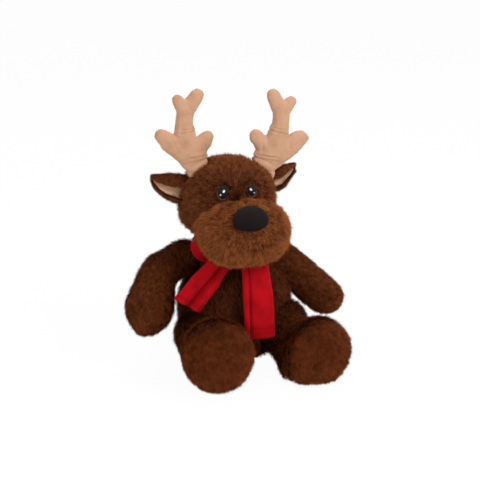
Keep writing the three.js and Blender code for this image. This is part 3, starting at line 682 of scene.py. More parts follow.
# antlers: two velour panels sewn along their edge, creased where the tines branch
velour = {"lit": (203, 158, 127), "deep": (195, 149, 118), "fold": (182, 136, 106)}
velourFinish = {
    "broadScale": 70.0, "broadDetail": 3.0, "fineScale": 1500.0, "fineDetail": 4.0, "fineRoughness": 0.7,
    "fineShare": 0.35, "broadShare": 0.65, "foldAt": 0.3, "deepAt": 0.44, "litAt": 0.56, "roughness": 0.85,
    "sheenRoughness": 0.45, "specular": 0.15, "bump": 0.35, "bumpDepth": 0.25,
}
# the edges, as heights and x in mm, are the outline of the palm between its root and its tines
antlers = {
    "voxel": 1.0, "rounds": 8, "sheen": 0.08, "swell": 0.8, "seamWidth": 1.3, "seamDepth": 0.7,
    "puckerDepth": 0.35, "puckerReach": 3.0, "rippleOut": 1.9, "rippleUp": 1.7, "swayOut": 0.9, "swayUp": 0.7,
    "sway": 2.0, "waist": 2.4, "waistAt": 52, "waistReach": 9, "waistEdge": 5, "tilt": 17,
    "fitFrom": 190.0, "fitTo": 250.0, "fitStep": 2.0, "fitReach": 1.6, "blendFrom": 236, "blendTo": 246,
    "creaseWidth": 0.9, "lipShare": 0.4, "lipAt": 2.4, "lipWidth": 1.3,
    "right": {"root": (-42.5, -3.0, 210.0), "lean": 0.0,
              "outer": [(196, -46), (208, -52), (213, -56), (218, -60.5), (223, -65.5), (227.5, -70.5),
                        (232.5, -76.5), (237, -81.5), (242, -85), (246, -87.5)],
              "inner": [(196, -36), (204, -34), (213, -32), (220, -30), (229, -29.5), (233.7, -27),
                        (237.7, -23.5), (242, -22), (246, -21.5)]},
    "left": {"root": (30.5, -3.0, 206.0), "lean": 11.0,
             "outer": [(192, 42), (204, 47), (209, 55), (214, 64), (218, 70.5), (222, 76), (226, 80),
                       (230, 82.5), (234, 84.5), (238, 85.5)],
             "inner": [(192, 28), (206, 24), (212, 21.5), (218, 20.3), (224, 22.5), (229, 23.8), (234, 21.5),
                       (238.8, 17.5), (243, 15.5)]},
}
# creases in an antler's own plane: start and end out and up from its root, depth
creases = [
    ((2.0, 45.0), (18.0, 43.0), 1.6),
    ((3.0, 48.0), (17.0, 46.5), 1.1),
    ((21.0, 27.0), (25.0, 34.0), 0.9),
    ((-4.0, 17.0), (8.0, 15.5), 0.8),
    ((-5.0, 30.0), (-3.0, 22.0), 0.5),
    ((6.0, 68.0), (10.0, 73.0), 0.5),
]


def velourMaterial(name, shades, sheen):
    look = velourFinish
    material, tree, shader = newMaterial(name)
    place = objectPlace(tree)
    broad = noiseOn(tree, place, look["broadScale"], look["broadDetail"])
    fine = noiseOn(tree, place, look["fineScale"], look["fineDetail"], look["fineRoughness"])
    broadPart = mathNode(tree, "MULTIPLY", broad, look["broadShare"])
    mixed = mathNode(tree, "MULTIPLY_ADD", fine, look["fineShare"], broadPart)
    shade = rampNode(tree, mixed, [(look[key + "At"], shades[key]) for key in ("fold", "deep", "lit")])
    feedAll(tree, shader, {"Base Color": shade, "Roughness": look["roughness"], "Sheen Weight": sheen,
                           "Sheen Roughness": look["sheenRoughness"], "Specular IOR Level": look["specular"]})
    bumpOn(tree, shader, fine, look["bump"], look["bumpDepth"])
    return material


def nearLine(points, start, end):
    line = end - start
    share = np.clip(((points - start) @ line) / (line @ line), 0, 1)
    return np.linalg.norm(points - (start + share[:, None] * line), axis=1)


def fittedPalm(points, facts, sign):
    heights = np.arange(antlers["fitFrom"], antlers["fitTo"], antlers["fitStep"])
    lows, highs = [], []
    for height in heights:
        near = points[np.abs(points[:, 2] - height) < antlers["fitReach"], 0]
        lows.append(near.min() if len(near) else np.nan)
        highs.append(near.max() if len(near) else np.nan)
    known = ~np.isnan(lows)
    low, high = (np.interp(points[:, 2], heights[known], np.array(ends)[known]) for ends in (lows, highs))
    outer, inner = (np.interp(points[:, 2], *zip(*facts[edge])) for edge in ("outer", "inner"))
    left, right = (outer, inner) if sign < 0 else (inner, outer)
    fitted = left + (points[:, 0] - low) / np.maximum(high - low, 1e-6) * (right - left)
    share = 1 - ease(points[:, 2], antlers["blendFrom"], antlers["blendTo"])
    return points[:, 0] + (fitted - points[:, 0]) * share


antlerVelour = velourMaterial("antler velour", velour, antlers["sheen"])
antlerPieces = {}
for side, sign in sides.items():
    facts = antlers[side]
    names = [f"antler_front_panel_{side}", f"antler_rear_panel_{side}", f"antler_stuffing_{side}"]
    piece = softForm("antler_velour_" + side, names, antlers["voxel"] * mm, antlers["rounds"])
    points, normals = pointsOf(piece.data) / mm, normalsOf(piece.data)
    local = points - np.array(facts["root"])
    lean, tilt = math.radians(facts["lean"]) * sign, math.radians(antlers["tilt"])
    outward = sign * (local[:, 0] * math.cos(lean) - local[:, 2] * math.sin(lean))
    upward = local[:, 2] * math.cos(lean) + local[:, 0] * math.sin(lean)
    # the trunk's inner side is drawn in at its waist, and the palm fitted between its edges
    along = outward * math.sin(tilt) + upward * math.cos(tilt)
    across = outward * math.cos(tilt) - upward * math.sin(tilt)
    drawn = antlers["waist"] * bell(along - antlers["waistAt"], antlers["waistReach"])
    drawn = drawn * ease(-across, 0, antlers["waistEdge"])
    points[:, 0] += sign * drawn * math.cos(tilt + lean * sign)
    points[:, 2] -= drawn * math.sin(tilt + lean * sign)
    points[:, 0] = fittedPalm(points, facts, sign)
    # seam, puckers beside it and creases
    fromSeam = np.abs(local[:, 1])
    push = antlers["swell"] - antlers["seamDepth"] * bell(fromSeam, antlers["seamWidth"])
    ripple = np.sin(outward * antlers["rippleOut"] + antlers["sway"] * np.sin(upward * antlers["swayUp"]))
    ripple = ripple * np.sin(upward * antlers["rippleUp"] + np.sin(outward * antlers["swayOut"]))
    push -= antlers["puckerDepth"] * np.exp(-fromSeam / antlers["puckerReach"]) * ripple
    for start, end, depth in creases:
        distance = nearLine(np.stack([outward, upward], axis=1), np.array(start), np.array(end))
        push -= depth * bell(distance, antlers["creaseWidth"])
        push += antlers["lipShare"] * depth * bell(distance - antlers["lipAt"], antlers["lipWidth"])
    setPoints(piece.data, (points + normals * push[:, None]) * mm)
    finer = piece.modifiers.new("finer", "SUBSURF")
    finer.levels = finer.render_levels = 1
    bakeModifiers(piece)
    piece.data.materials.append(antlerVelour)
    antlerPieces[side] = piece
print("antlers made")

# nose: a padded velour cushion
nose = {"lit": (22, 15, 13), "deep": (15, 10, 9), "fold": (8, 6, 5), "sheen": 0.0, "voxel": 1.0, "rounds": 6}
nosePiece = softForm("nose_cushion", ["nose_cover", "nose_stuffing"], nose["voxel"] * mm, nose["rounds"])
nosePiece.data.materials.append(velourMaterial("nose velour", nose, nose["sheen"]))
print("nose made")

# eyes: embroidered patches that follow the head; sizes in mm, a patch's edge turns down into the fur
eyes = {
    "iris": {"width": 11.8, "height": 14.6, "lean": 0, "lift": 0.0, "dome": 0.5,
             "thread": "iris", "slot": "eye_brown"},
    "pupil": {"width": 11.6, "height": 13.8, "lean": 0, "lift": 0.1, "dome": 0.9,
              "thread": "pupil", "slot": "eye_black"},
    "glint_large": {"width": 2.2, "height": 3.3, "lean": 32, "lift": 0.65, "dome": 0.25, "drop": 1.9,
                    "thread": "glint", "slot": "eye_white"},
    "glint_small": {"width": 1.4, "height": 1.7, "lean": 30, "lift": 0.65, "dome": 0.2, "drop": 1.2,
                    "thread": "glint", "slot": "eye_white"},
}
patch = {"rings": 9, "spokes": 48, "facing": 0.6, "domePower": 4, "edgeShare": 0.96, "edgeDrop": 1.3,
         "rearDrop": 1.0, "glintShift": {"right": -1.3, "left": 0.0}}
eyeSizes = {"right": 1.0, "left": 0.88}
# threads: their shades, and how many degrees the stitches turn
threads = {
    "iris": {"lit": (120, 78, 62), "dark": (84, 50, 38), "roughness": 0.5, "turn": 80},
    "pupil": {"lit": (9, 8, 8), "dark": (4, 3, 3), "roughness": 0.45, "turn": 8},
    "glint": {"lit": (248, 246, 242), "dark": (226, 222, 216), "roughness": 0.4, "turn": 30},
    "mouth": {"lit": (30, 18, 15), "dark": (14, 8, 7), "roughness": 0.6, "turn": 0},
}
threadFinish = {"scale": 620.0, "distortion": 1.2, "detail": 2.0, "darkAt": 0.0, "litAt": 0.6, "specular": 0.15,
                "bump": 0.5, "bumpDepth": 0.12}


def threadMaterial(kind):
    facts, look = threads[kind], threadFinish
    material, tree, shader = newMaterial(kind + " thread")
    place = addNode(tree, "ShaderNodeMapping")
    feedAll(tree, place, {"Rotation": (0, math.radians(facts["turn"]), 0), "Vector": objectPlace(tree)})
    stitches = waveOn(tree, place.outputs[0], "X", look["scale"], look["distortion"], look["detail"])
    shade = rampNode(tree, stitches, [(look["darkAt"], facts["dark"]), (look["litAt"], facts["lit"])])
    feedAll(tree, shader, {"Base Color": shade, "Roughness": facts["roughness"],
                           "Specular IOR Level": look["specular"]})
    bumpOn(tree, shader, stitches, look["bump"], look["bumpDepth"])
    return material


threadMaterials = {kind: threadMaterial(kind) for kind in threads}


def curved(u, v):
    return np.stack([np.ones_like(u), u, v, u * u, v * v], axis=-1)


def patchPiece(name, cadName, facts, side):
    mesh = cadNodes[cadName].data
    points = pointsOf(mesh)
    away = unit((points.mean(0) - headMiddle)[None, :])[0]
    outer = set()
    normal = np.zeros(3)
    for face in mesh.polygons:
        if np.dot(face.normal, away) > patch["facing"]:
            outer.update(face.vertices)
            normal += np.array(face.normal) * face.area
    normal = unit(normal[None, :])[0]
    across = unit(np.cross([0, 0, 1.0], normal)[None, :])[0]
    upward = np.cross(normal, across)
    # the patch follows a curved surface through the outer face of the solid that it replaces
    shell = points[sorted(outer)]
    middle = (shell.min(0) + shell.max(0)) / 2
    x, y, h = ((shell - middle) @ axis for axis in (across, upward, normal))
    fit = np.linalg.lstsq(curved(x, y), h, rcond=None)[0]
    if "drop" in facts:
        shift = np.array([patch["glintShift"][side], -facts["drop"]]) * mm
        base, moved = curved(np.zeros(1), np.zeros(1)) @ fit, curved(shift[:1], shift[1:]) @ fit
        middle = middle + across * shift[0] + upward * shift[1] + normal * float(moved[0] - base[0])
    lean = math.radians(facts["lean"]) * sides[side]
    rings, spokes = patch["rings"], patch["spokes"]
    rows = []
    for i in range(1, rings + 1):
        reach = i / rings
        turn = np.arange(spokes) * 2 * math.pi / spokes
        u = reach * facts["width"] / 2 * mm * np.cos(turn)
        v = reach * facts["height"] / 2 * mm * np.sin(turn)
        u, v = u * math.cos(lean) - v * math.sin(lean), u * math.sin(lean) + v * math.cos(lean)
        lift = facts["lift"] + facts["dome"] * (1 - reach ** patch["domePower"])
        rows.append(np.outer(u, across) + np.outer(v, upward) + np.outer(curved(u, v) @ fit + lift * mm, normal))
    rows.append(rows[-1] * patch["edgeShare"] - normal * patch["edgeDrop"] * mm)
    top = (fit[0] + (facts["lift"] + facts["dome"]) * mm) * normal
    allPoints = [middle + top] + [middle + p for row in rows for p in row]
    allPoints.append(middle - normal * patch["rearDrop"] * mm)
    faces = []
    for j in range(spokes):
        k = (j + 1) % spokes
        faces.append((0, 1 + j, 1 + k))
        for i in range(len(rows) - 1):
            a, b = 1 + i * spokes, 1 + (i + 1) * spokes
            faces.append((a + j, b + j, b + k, a + k))
        last = 1 + (len(rows) - 1) * spokes
        faces.append((last + j, len(allPoints) - 1, last + k))
    return smoothFaces(pieceFromPoints(name, allPoints, faces))


eyePieces = []
for side in sides:
    for part, facts in eyes.items():
        size = eyeSizes[side]
        facts = dict(facts, width=facts["width"] * size ** 0.5, height=facts["height"] * size)
        cadName = f"eye_{part}_{side}"
        piece = patchPiece(f"eye_{part}_thread_{side}", cadName, facts, side)
        piece.data.materials.append(threadMaterials[facts["thread"]])
        eyePieces.append((piece, cadName, facts["slot"]))
print("eyes made:", len(eyePieces))

# fur combed and planted
trees = {name: nearestTo(base) for name, base in bases.items()}
for side in sides:
    trees["ear_" + side] = nearestTo(earBacks[side])
    trees["lining_" + side] = nearestTo(earLinings[side])
    trees["antler_" + side] = nearestTo(antlerPieces[side])
trees["nose"] = nearestTo(nosePiece)
limbNames = [f"{kind}_{side}" for kind in ("arm", "leg") for side in sides]
neighbours = {
    "body": [*limbNames, "tail", "head", "muzzle"],
    "head": ["muzzle", "body", "antler_right", "antler_left", "ear_right", "ear_left"],
    "muzzle": ["head", "nose", "body"],
    "tail": ["body"],
    **{name: ["body"] for name in limbNames},
}
shoulders = {"right": np.array([-53.0, 2.0, 108.0]) * mm, "left": np.array([53.0, 2.0, 108.0]) * mm}
paws = {"right": np.array([-101.0, -25.0, 69.0]) * mm, "left": np.array([107.0, -11.0, 55.0]) * mm}
hips = {side: np.array([sign * 46.0, -24.0, 31.0]) * mm for side, sign in sides.items()}
feet = {"right": np.array([-48.0, -102.0, 39.0]) * mm, "left": np.array([60.0, -110.0, 35.0]) * mm}
browMiddle = np.mean(eyeMiddles, axis=0)

# which way the pile lies; the head's runs from the brow and over the lids, the muzzle's from above the nose
combing = {
    "browDrop": 6, "headDown": 0.25, "lidRise": (1.0, 4.0), "lidReach": (9, 13), "lidDown": 1.2, "noseRise": 4,
    "muzzleDown": 0.2, "armDown": 0.3, "leg": [0.0, -0.6, -0.5], "tail": [0.0, 0.7, -0.4],
}


def combFor(name, points):
    count = len(points)
    down = np.tile([0.0, 0.0, -1.0], (count, 1))
    if name == "head":
        comb = unit(points - (browMiddle + np.array([0, 0, -combing["browDrop"] * mm]))) + combing["headDown"] * down
        for middle in eyeMiddles:
            above = ease((points[:, 2] - middle[2]) / mm, *combing["lidRise"])
            lid = (above * (1 - ease(awayFrom(middle, points), *combing["lidReach"])))[:, None]
            comb = comb * (1 - lid) + combing["lidDown"] * down * lid
        return comb
    if name == "muzzle":
        above = noseMiddle + np.array([0, 0, combing["noseRise"] * mm])
        return unit(points - above) + combing["muzzleDown"] * down
    if name.startswith("arm"):
        side = name.split("_")[1]
        armward = unit((paws[side] - shoulders[side])[None, :])
        return np.tile(armward, (count, 1)) + combing["armDown"] * down
    if name.startswith("leg"):
        return np.tile(combing["leg"], (count, 1))
    if name == "tail":
        return np.tile(combing["tail"], (count, 1))
    return down


# where the pile is thin or short: against neighbours, round the eyes and the nose, on the lip and on the table; on
# the lip the dark backing shows through, partly as the mouth line and partly as painted shade under the nose
thinning = {
    "feel": 2.0, "buried": (-2.5, -0.5), "eyeClear": (6.5, 8.5), "lidClear": 2.6, "lidRise": (1.5, 4.5),
    "eyeLength": 0.34, "lidLength": 0.2, "eyeReach": (8, 22), "noseLength": 0.45, "noseReach": (20, 36),
    "lip": [5.0, 0.0, -15.5], "lipWidth": 8, "lipHeight": 2.2, "lipDepth": 25, "lipShare": 0.9,
    "floorShare": 0.75, "floorTurn": (0.4, 0.9), "floorHeight": (2, 12),
}
furs = []
seed = 3
for name, facts in stuffed.items():
    base = bases[name]
    points, normals = pointsOf(base.data), normalsOf(base.data)
    share = np.ones(len(points))
    for other in neighbours[name]:
        clear = depthsFrom(trees[other], points + normals * thinning["feel"] * mm)
        share *= ease(clear / mm, *thinning["buried"])
    lengths = np.ones(len(points))
    if name in ("head", "muzzle"):
        for middle in eyeMiddles:
            away = awayFrom(middle, points)
            above = ease((points[:, 2] - middle[2]) / mm, *thinning["lidRise"])
            share *= ease(away, *(edge - thinning["lidClear"] * above for edge in thinning["eyeClear"]))
            least = thinning["eyeLength"] + thinning["lidLength"] * above
            lengths = np.minimum(lengths, least + (1 - least) * ease(away, *thinning["eyeReach"]))
    if name == "muzzle":
        near = ease(awayFrom(noseMiddle, points), *thinning["noseReach"])
        lengths = np.minimum(lengths, thinning["noseLength"] + (1 - thinning["noseLength"]) * near)
        # painted shade: the pile is thinned in a band under the nose so that the dark backing shows there, partly as
        # the mouth line and partly as the nose's shadow
        lip = (points - noseMiddle) / mm - np.array(thinning["lip"])
        mouthAndShadeBand = np.exp(-(lip[:, 0] / thinning["lipWidth"]) ** 2 - (lip[:, 2] / thinning["lipHeight"]) ** 2)
        share *= 1 - thinning["lipShare"] * mouthAndShadeBand * (lip[:, 1] < thinning["lipDepth"])
    low = ease(-normals[:, 2], *thinning["floorTurn"]) * (1 - ease(points[:, 2] / mm, *thinning["floorHeight"]))
    lengths *= 1 - thinning["floorShare"] * low
    look = dict(furLook, strands=facts["strands"], **piles[facts["pile"]])
    furs.append((name, base, combFor(name, points), share, lengths, look, facts["slot"], facts["rides"], seed))
    seed += 1

# the soles' lighter pile starts at the rim of each foot and lies outward and down
soles = {"length": 8.5, "width": 0.38, "lift": 0.5, "clump": 1.2, "clumpScale": 190.0, "stray": 0.2, "strands": 34000}
soleLay = {"rim": (1.5, 4.5), "outward": 0.35, "comb": [0.25, 0, -0.75], "seedStep": 20}
for i, (name, base, comb, share, lengths, look, slot, body, seedHere) in enumerate(list(furs)):
    if not name.startswith("leg"):
        continue
    side = name.split("_")[1]
    radial = pointsOf(base.data) - feet[side]
    toe = unit((feet[side] - hips[side])[None, :])[0]
    onSole = ease(radial @ toe / mm, *soleLay["rim"])
    radial -= np.outer(radial @ toe, toe)
    furs[i] = (name, base, comb, share * (1 - onSole), lengths, look, slot, body, seedHere)
    combSole = unit(radial) * soleLay["outward"] + np.array(soleLay["comb"])
    furs.append(("sole_" + side, base, combSole, share * onSole, lengths, soles, "sole_fur", body,
                 seedHere + soleLay["seedStep"]))

# an ear's pile runs to its tip and grows shorter there, and none grows between the back and its lining
earFur = {"length": 8.0, "width": 0.34, "lift": 0.4, "clump": 0.7, "clumpScale": 260.0, "stray": 0.2,
          "strands": 11000}
liningNap = {"length": 1.3, "width": 0.3, "lift": 0.6, "clump": 0.5, "clumpScale": 400.0, "stray": 0.3,
             "strands": 2500}
earLay = {"forward": -0.35, "down": -0.3, "feel": 1.0, "apart": (0.2, 1.0), "fromHead": (0.0, 2.0),
          "tipShort": 0.5, "right": (62, 84), "left": (50, 68)}
for side, sign in sides.items():
    tip = np.array([sign, earLay["forward"], earLay["down"]])
    for part, store, look, slot in (("ear", earBacks, earFur, "head_fur"),
                                    ("lining", earLinings, liningNap, "ear_lining")):
        base = store[side]
        points, normals = pointsOf(base.data), normalsOf(base.data)
        other = trees[("lining_" if part == "ear" else "ear_") + side]
        share = ease(depthsFrom(other, points + normals * earLay["feel"] * mm) / mm, *earLay["apart"])
        share *= ease(depthsFrom(trees["head"], points) / mm, *earLay["fromHead"])
        tipward = ease(np.abs(points[:, 0]) / mm, *earLay[side])
        furs.append((f"{part}_{side}", base, np.tile(tip, (len(points), 1)), share,
                     1 - earLay["tipShort"] * tipward, look, slot, "ear_" + side, seed))
        seed += 1

for name, base, comb, share, lengths, look, slot, body, seedHere in furs:
    fur = plantFur(name + "_fur", base, comb, share, lengths, look, slot, seedHere)
    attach(fur, body)
bpy.data.objects.remove(furBlade)

for name, facts in stuffed.items():
    base = bases[name]
    base.data.materials.append(backings[facts["slot"]])
    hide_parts(*facts["nodes"])
    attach(base, facts["rides"])
for side in sides:
    for store, part, slot in ((earBacks, "ear_back", "head_fur"), (earLinings, "ear_lining", "ear_lining")):
        piece = store[side]
        piece.data.materials.append(backings[slot])
        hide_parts(f"{part}_{side}")
        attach(piece, "ear_" + side)
    piece = antlerPieces[side]
    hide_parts(*[f"antler_{part}_{side}" for part in ("front_panel", "rear_panel", "stuffing")])
    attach(piece, "antler_" + side)
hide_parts("nose_cover", "nose_stuffing")
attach(nosePiece, "head")
for piece, cadName, slot in eyePieces:
    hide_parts(cadName)
    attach(piece, "head")
print("stuffed pieces placed")

# scarf: soft red cloth, a loop, a knot and two folded tails
scarfShades = {"lit": (190, 14, 26), "deep": (176, 10, 21), "fold": (142, 5, 12)}
scarfFinish = {
    "patchScale": 60.0, "patchDetail": 3.0, "weaveScale": 480.0, "weaveDistortion": 1.5, "weaveDetail": 1.0,
    "weaveShare": 0.2, "foldAt": 0.2, "deepAt": 0.4, "litAt": 0.6, "creaseShade": -0.62, "roughness": 0.8,
    "specular": 0.05, "sheen": 0.02, "bump": 0.3, "bumpDepth": 0.15,
}


def scarfMaterial():
    look = scarfFinish
    material, tree, shader = newMaterial("scarf cloth")
    place = objectPlace(tree)
    broad = noiseOn(tree, place, look["patchScale"], look["patchDetail"])
    rows = [waveOn(tree, place, direction, look["weaveScale"], look["weaveDistortion"], look["weaveDetail"])
            for direction in ("X", "Z")]
    weave = mathNode(tree, "MULTIPLY", *rows)
    broad = mathNode(tree, "MULTIPLY", broad, 1 - look["weaveShare"])
    mixed = mathNode(tree, "MULTIPLY_ADD", weave, look["weaveShare"], broad)
    cloth = rampNode(tree, mixed, [(look[key + "At"], scarfShades[key]) for key in ("fold", "deep", "lit")])
    # painted shade: the cloth is drawn darker where each tail stores shade for its fold and its hem
    shade = mathNode(tree, "MULTIPLY_ADD", attributeOn(tree, "crease"), look["creaseShade"], 1.0)
    feedAll(tree, shader, {"Base Color": vectorNode(tree, "SCALE", cloth, scale=shade),
                           "Roughness": look["roughness"], "Specular IOR Level": look["specular"],
                           "Sheen Weight": look["sheen"]})
    bumpOn(tree, shader, weave, look["bump"], look["bumpDepth"])
    return material


# the loop has small gathers round the neck and the knot has slanting wraps
scarfForm = {"voxel": 1.1, "rounds": 5, "gatherPitch": 1.25, "gatherSway": 1.5, "swayTurns": 3, "gatherTurns": 5,
             "gatherDepth": 0.35, "wrapPitch": 0.8, "wrapSlant": 0.4, "wrapDepth": 0.5}
scarfCloth = scarfMaterial()
band = softForm("scarf_loop", ["scarf_band"], scarfForm["voxel"] * mm, scarfForm["rounds"])
points, normals = pointsOf(band.data), normalsOf(band.data)
around = np.arctan2(points[:, 1], points[:, 0])
gathers = np.sin(points[:, 2] / mm * scarfForm["gatherPitch"]
                 + scarfForm["gatherSway"] * np.sin(around * scarfForm["swayTurns"]))
gathers = gathers * (0.5 + 0.5 * np.sin(around * scarfForm["gatherTurns"] + 1)) * scarfForm["gatherDepth"]
setPoints(band.data, pushed(points + normals * gathers[:, None] * mm, bulges["band"]))
knot = softForm("scarf_wrap", ["scarf_knot"], scarfForm["voxel"] * mm, scarfForm["rounds"])
points, normals = pointsOf(knot.data), normalsOf(knot.data)
wraps = np.sin((points[:, 0] + scarfForm["wrapSlant"] * points[:, 2]) / mm * scarfForm["wrapPitch"])
setPoints(knot.data, pushed(points + normals * (scarfForm["wrapDepth"] * wraps * mm)[:, None], bulges["knot"]))

# each tail's place and fold; fold and hem are shares of its width and length, the rest is mm and degrees
tails = {
    "right": {"root": (-30.5, -45.0, 116.5), "lean": 41.5, "across": 31.5, "length": 54.5, "topWidth": 26.5,
              "width": 33.0, "outward": 3.0, "foldAt": 0.55, "foldDepth": 6.5, "foldWidth": 0.09, "bulge": 6.5,
              "hem": 0.9},
    "left": {"root": (10.4, -45.0, 112.0), "lean": 0.9, "across": -2.0, "length": 75.5, "topWidth": 31.0,
             "width": 34.5, "outward": 21.0, "foldAt": 0.2, "foldDepth": 3.6, "foldWidth": 0.04, "bulge": 2.6,
             "hem": 0.86},
}
# what both tails share: how they open downwards, how round their edges and ends are, their waves, their hem, and the
# painted shade in the fold and in puckers along the hem
tailCloth = {
    "rows": 72, "half": 40, "middle": 1.6, "front": 1.5, "frontLeast": 0.9, "rear": 1.3, "edgePower": 8,
    "widenTo": 0.45, "openTop": 0.45, "foldShift": 0.06, "endFrom": 0.97, "endLeast": 0.04,
    "narrowSwell": 0.9, "wideSwell": 1.1, "wave": 1.1, "waveTurns": (5.0, 3.0), "ripple": 0.7,
    "rippleTurns": (11, -4), "hemDepth": 0.7, "hemWidth": 0.012, "creaseShadeShare": 0.55, "puckerShade": 0.35,
    "puckerShadeWidth": 0.05, "puckerShadeTurns": 9, "merge": 0.01,
}


def waveOver(turns, share, s):
    return math.sin(turns[0] * share + turns[1] * s)


def tailPiece(side):
    facts, cloth = tails[side], tailCloth
    rows, half = cloth["rows"], cloth["half"]
    size = 2 * half
    lean, slant = math.radians(facts["lean"]), math.radians(facts["across"])
    downward = np.array([-math.sin(lean), 0, -math.cos(lean)])
    across = np.array([math.cos(slant), 0, -math.sin(slant)])
    points, shades = [], []
    for i in range(rows + 1):
        share = i / rows
        widened = float(ease(np.array(share), 0, cloth["widenTo"]))
        width = facts["topWidth"] + (facts["width"] - facts["topWidth"]) * widened
        drape = facts["outward"] * math.sin(math.pi / 2 * share)
        opened = cloth["openTop"] + (1 - cloth["openTop"]) * share
        fold = facts["foldAt"] + cloth["foldShift"] * (1 - share)
        past = max(share - cloth["endFrom"], 0) / (1 - cloth["endFrom"])
        endRound = math.sqrt(max(1 - past ** 2, cloth["endLeast"]))
        for j in range(size):  # the face that shows, then the one behind it
            front = j <= half
            s = j / half if front else (size - j) / half
            edge = math.sqrt(max(1 - (2 * s - 1) ** cloth["edgePower"], 0))  # edges are soft folds
            if s < fold:
                swell = cloth["narrowSwell"] * math.sin(math.pi * s / fold)
            else:
                swell = cloth["wideSwell"] * math.sin(math.pi * (s - fold) / (1 - fold))
            if front:
                dip = facts["foldDepth"] * bell(s - fold, facts["foldWidth"])
                hem = cloth["hemDepth"] * bell(share - facts["hem"], cloth["hemWidth"])
                raised = (facts["bulge"] * swell - dip) * opened * edge - hem * edge
                out = max(cloth["middle"] + cloth["front"] * edge * endRound + raised, cloth["frontLeast"])
                # painted shade: how much darker the front face is drawn in the fold's hollow and in a row of puckers
                # along the hem
                depth = bell(s - fold, cloth["creaseShadeShare"] * facts["foldWidth"]) * opened * edge
                puckerShade = cloth["puckerShade"] * bell(share - facts["hem"], cloth["puckerShadeWidth"])
                puckerShade *= 0.5 + 0.5 * math.sin(cloth["puckerShadeTurns"] * s + 1)
                shades.append(min(depth + puckerShade * edge, 1.0))
            else:
                out = cloth["middle"] - cloth["rear"] * edge * endRound
                shades.append(0.0)
            wave = cloth["wave"] * waveOver(cloth["waveTurns"], share, s)
            out += (wave + cloth["ripple"] * waveOver(cloth["rippleTurns"], share, s)) * opened
            place = np.array(facts["root"]) + downward * facts["length"] * share + across * width * (s - 0.5)
            points.append((place - np.array([0, out + drape, 0])) * mm)
    faces = []
    for i in range(rows):
        for j in range(size):
            k = (j + 1) % size
            a, b = i * size, (i + 1) * size
            faces.append((a + j, b + j, b + k, a + k))
    for first, flip in ((0, False), (rows * size, True)):
        for j in range(half):
            quad = [first + j, first + j + 1, first + (size - j - 1) % size, first + (size - j) % size]
            quad = list(dict.fromkeys(quad))
            if len(quad) > 2:
                faces.append(tuple(quad if flip else quad[::-1]))
    piece = pieceFromPoints("scarf_fall_" + side, points, faces)
    # the painted shade of the fold and the hem, stored for the cloth's material
    addAttribute(piece.data, "crease", shades)
    return turnOutward(piece, cloth["merge"] * mm)


def halfSkin(piece):
    return sum(face.area for face in piece.data.polygons) / 2


for piece in (band, knot):
    piece.data.materials.append(scarfCloth)
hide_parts("scarf_band")
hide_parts("scarf_knot")
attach(band, "torso")
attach(knot, "torso")
print("loop half skin", halfSkin(band))
for side in sides:
    piece = tailPiece(side)
    piece.data.materials.append(scarfCloth)
    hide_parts("scarf_tail_" + side)
    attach(piece, "scarf_end_" + side)
    print("tail half skin", side, halfSkin(piece))
print("scarf made")

# mouth: a sewn line in the fur below the nose, sunk into the muzzle
mouth = {"voxel": 0.45, "rounds": 3, "sunk": 4.6}
mouthPiece = softForm("mouth_line", ["mouth_stitch"], mouth["voxel"] * mm, mouth["rounds"])
mouthPoints = pointsOf(mouthPiece.data)
inward = unit((muzzleMiddle - mouthPoints.mean(0))[None, :])
setPoints(mouthPiece.data, mouthPoints + inward * mouth["sunk"] * mm)
mouthPiece.data.materials.append(threadMaterials["mouth"])
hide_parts("mouth_stitch")
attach(mouthPiece, "head")
print("mouth made")

# floor, light and camera
studio = {"floorSize": 6.0, "floorTone": 0.95, "floorRoughness": 0.9, "floorGlow": 0.96, "worldTone": 0.5}
lamps = {
    "key": {"place": (0.85, -1.15, 1.4), "size": 0.9, "power": 17.0},
    "fill": {"place": (-1.3, -1.0, 0.8), "size": 1.2, "power": 5.5},
    "top": {"place": (0.2, 0.5, 1.7), "size": 1.0, "power": 10.0},
}
lens = {"azimuth": -17.0, "elevation": 17.0, "distance": 1.5, "focal": 102.8, "shiftX": 7 / 480, "shiftY": -18 / 480,
        "target": (0, 0, 0.148)}


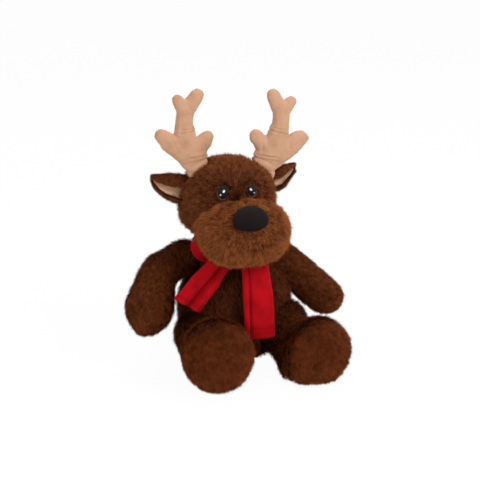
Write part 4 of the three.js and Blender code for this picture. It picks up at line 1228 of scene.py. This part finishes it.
def seenOrMirrored(tree):
    path = addNode(tree, "ShaderNodeLightPath")
    seen = mathNode(tree, "ADD", path.outputs["Is Camera Ray"], path.outputs["Is Glossy Ray"])
    return mathNode(tree, "ADD", seen, path.outputs["Is Transmission Ray"])


world = bpy.data.worlds.new("studio")
world.use_nodes = True
bpy.context.scene.world = world
tree = world.node_tree
plain = tree.nodes["Background"]
feedAll(tree, plain, {"Color": (1, 1, 1, 1), "Strength": studio["worldTone"]})
white = addNode(tree, "ShaderNodeBackground")
feedAll(tree, white, {"Color": (1, 1, 1, 1), "Strength": 1.0})
mixShaders(tree, seenOrMirrored(tree), plain, white, "World Output")

half = studio["floorSize"] / 2
corners = [(-half, -half, 0), (half, -half, 0), (half, half, 0), (-half, half, 0)]
floor = pieceFromPoints("floor", corners, [(0, 1, 2, 3)])
floorTone, tree, shader = newMaterial("pale floor")
feedAll(tree, shader, {"Base Color": (studio["floorTone"],) * 3 + (1,), "Roughness": studio["floorRoughness"]})
glow = addNode(tree, "ShaderNodeEmission")
glow.inputs["Strength"].default_value = 1.0
glowing = mathNode(tree, "MULTIPLY", seenOrMirrored(tree), studio["floorGlow"])
mixShaders(tree, glowing, shader, glow, "Material Output")
floor.data.materials.append(floorTone)

target = Vector(lens["target"])
for name, facts in lamps.items():
    data = bpy.data.lights.new(name, "AREA")
    data.shape = "DISK"
    data.size = facts["size"]
    data.energy = facts["power"]
    lamp = bpy.data.objects.new(name, data)
    bpy.context.scene.collection.objects.link(lamp)
    lamp.location = facts["place"]
    lamp.rotation_euler = (target - Vector(facts["place"])).to_track_quat("-Z", "Y").to_euler()

turn, tilt = math.radians(lens["azimuth"]), math.radians(lens["elevation"])
back = Vector((math.sin(turn) * math.cos(tilt), -math.cos(turn) * math.cos(tilt), math.sin(tilt)))
camera = bpy.data.objects.new("camera", bpy.data.cameras.new("camera"))
bpy.context.scene.collection.objects.link(camera)
camera.location = target + back * lens["distance"]
camera.rotation_euler = (-back).to_track_quat("-Z", "Y").to_euler()
camera.data.lens = lens["focal"]
camera.data.shift_x, camera.data.shift_y = lens["shiftX"], lens["shiftY"]
bpy.context.scene.camera = camera
bpy.context.scene.view_settings.view_transform = "Standard"
print("studio set")
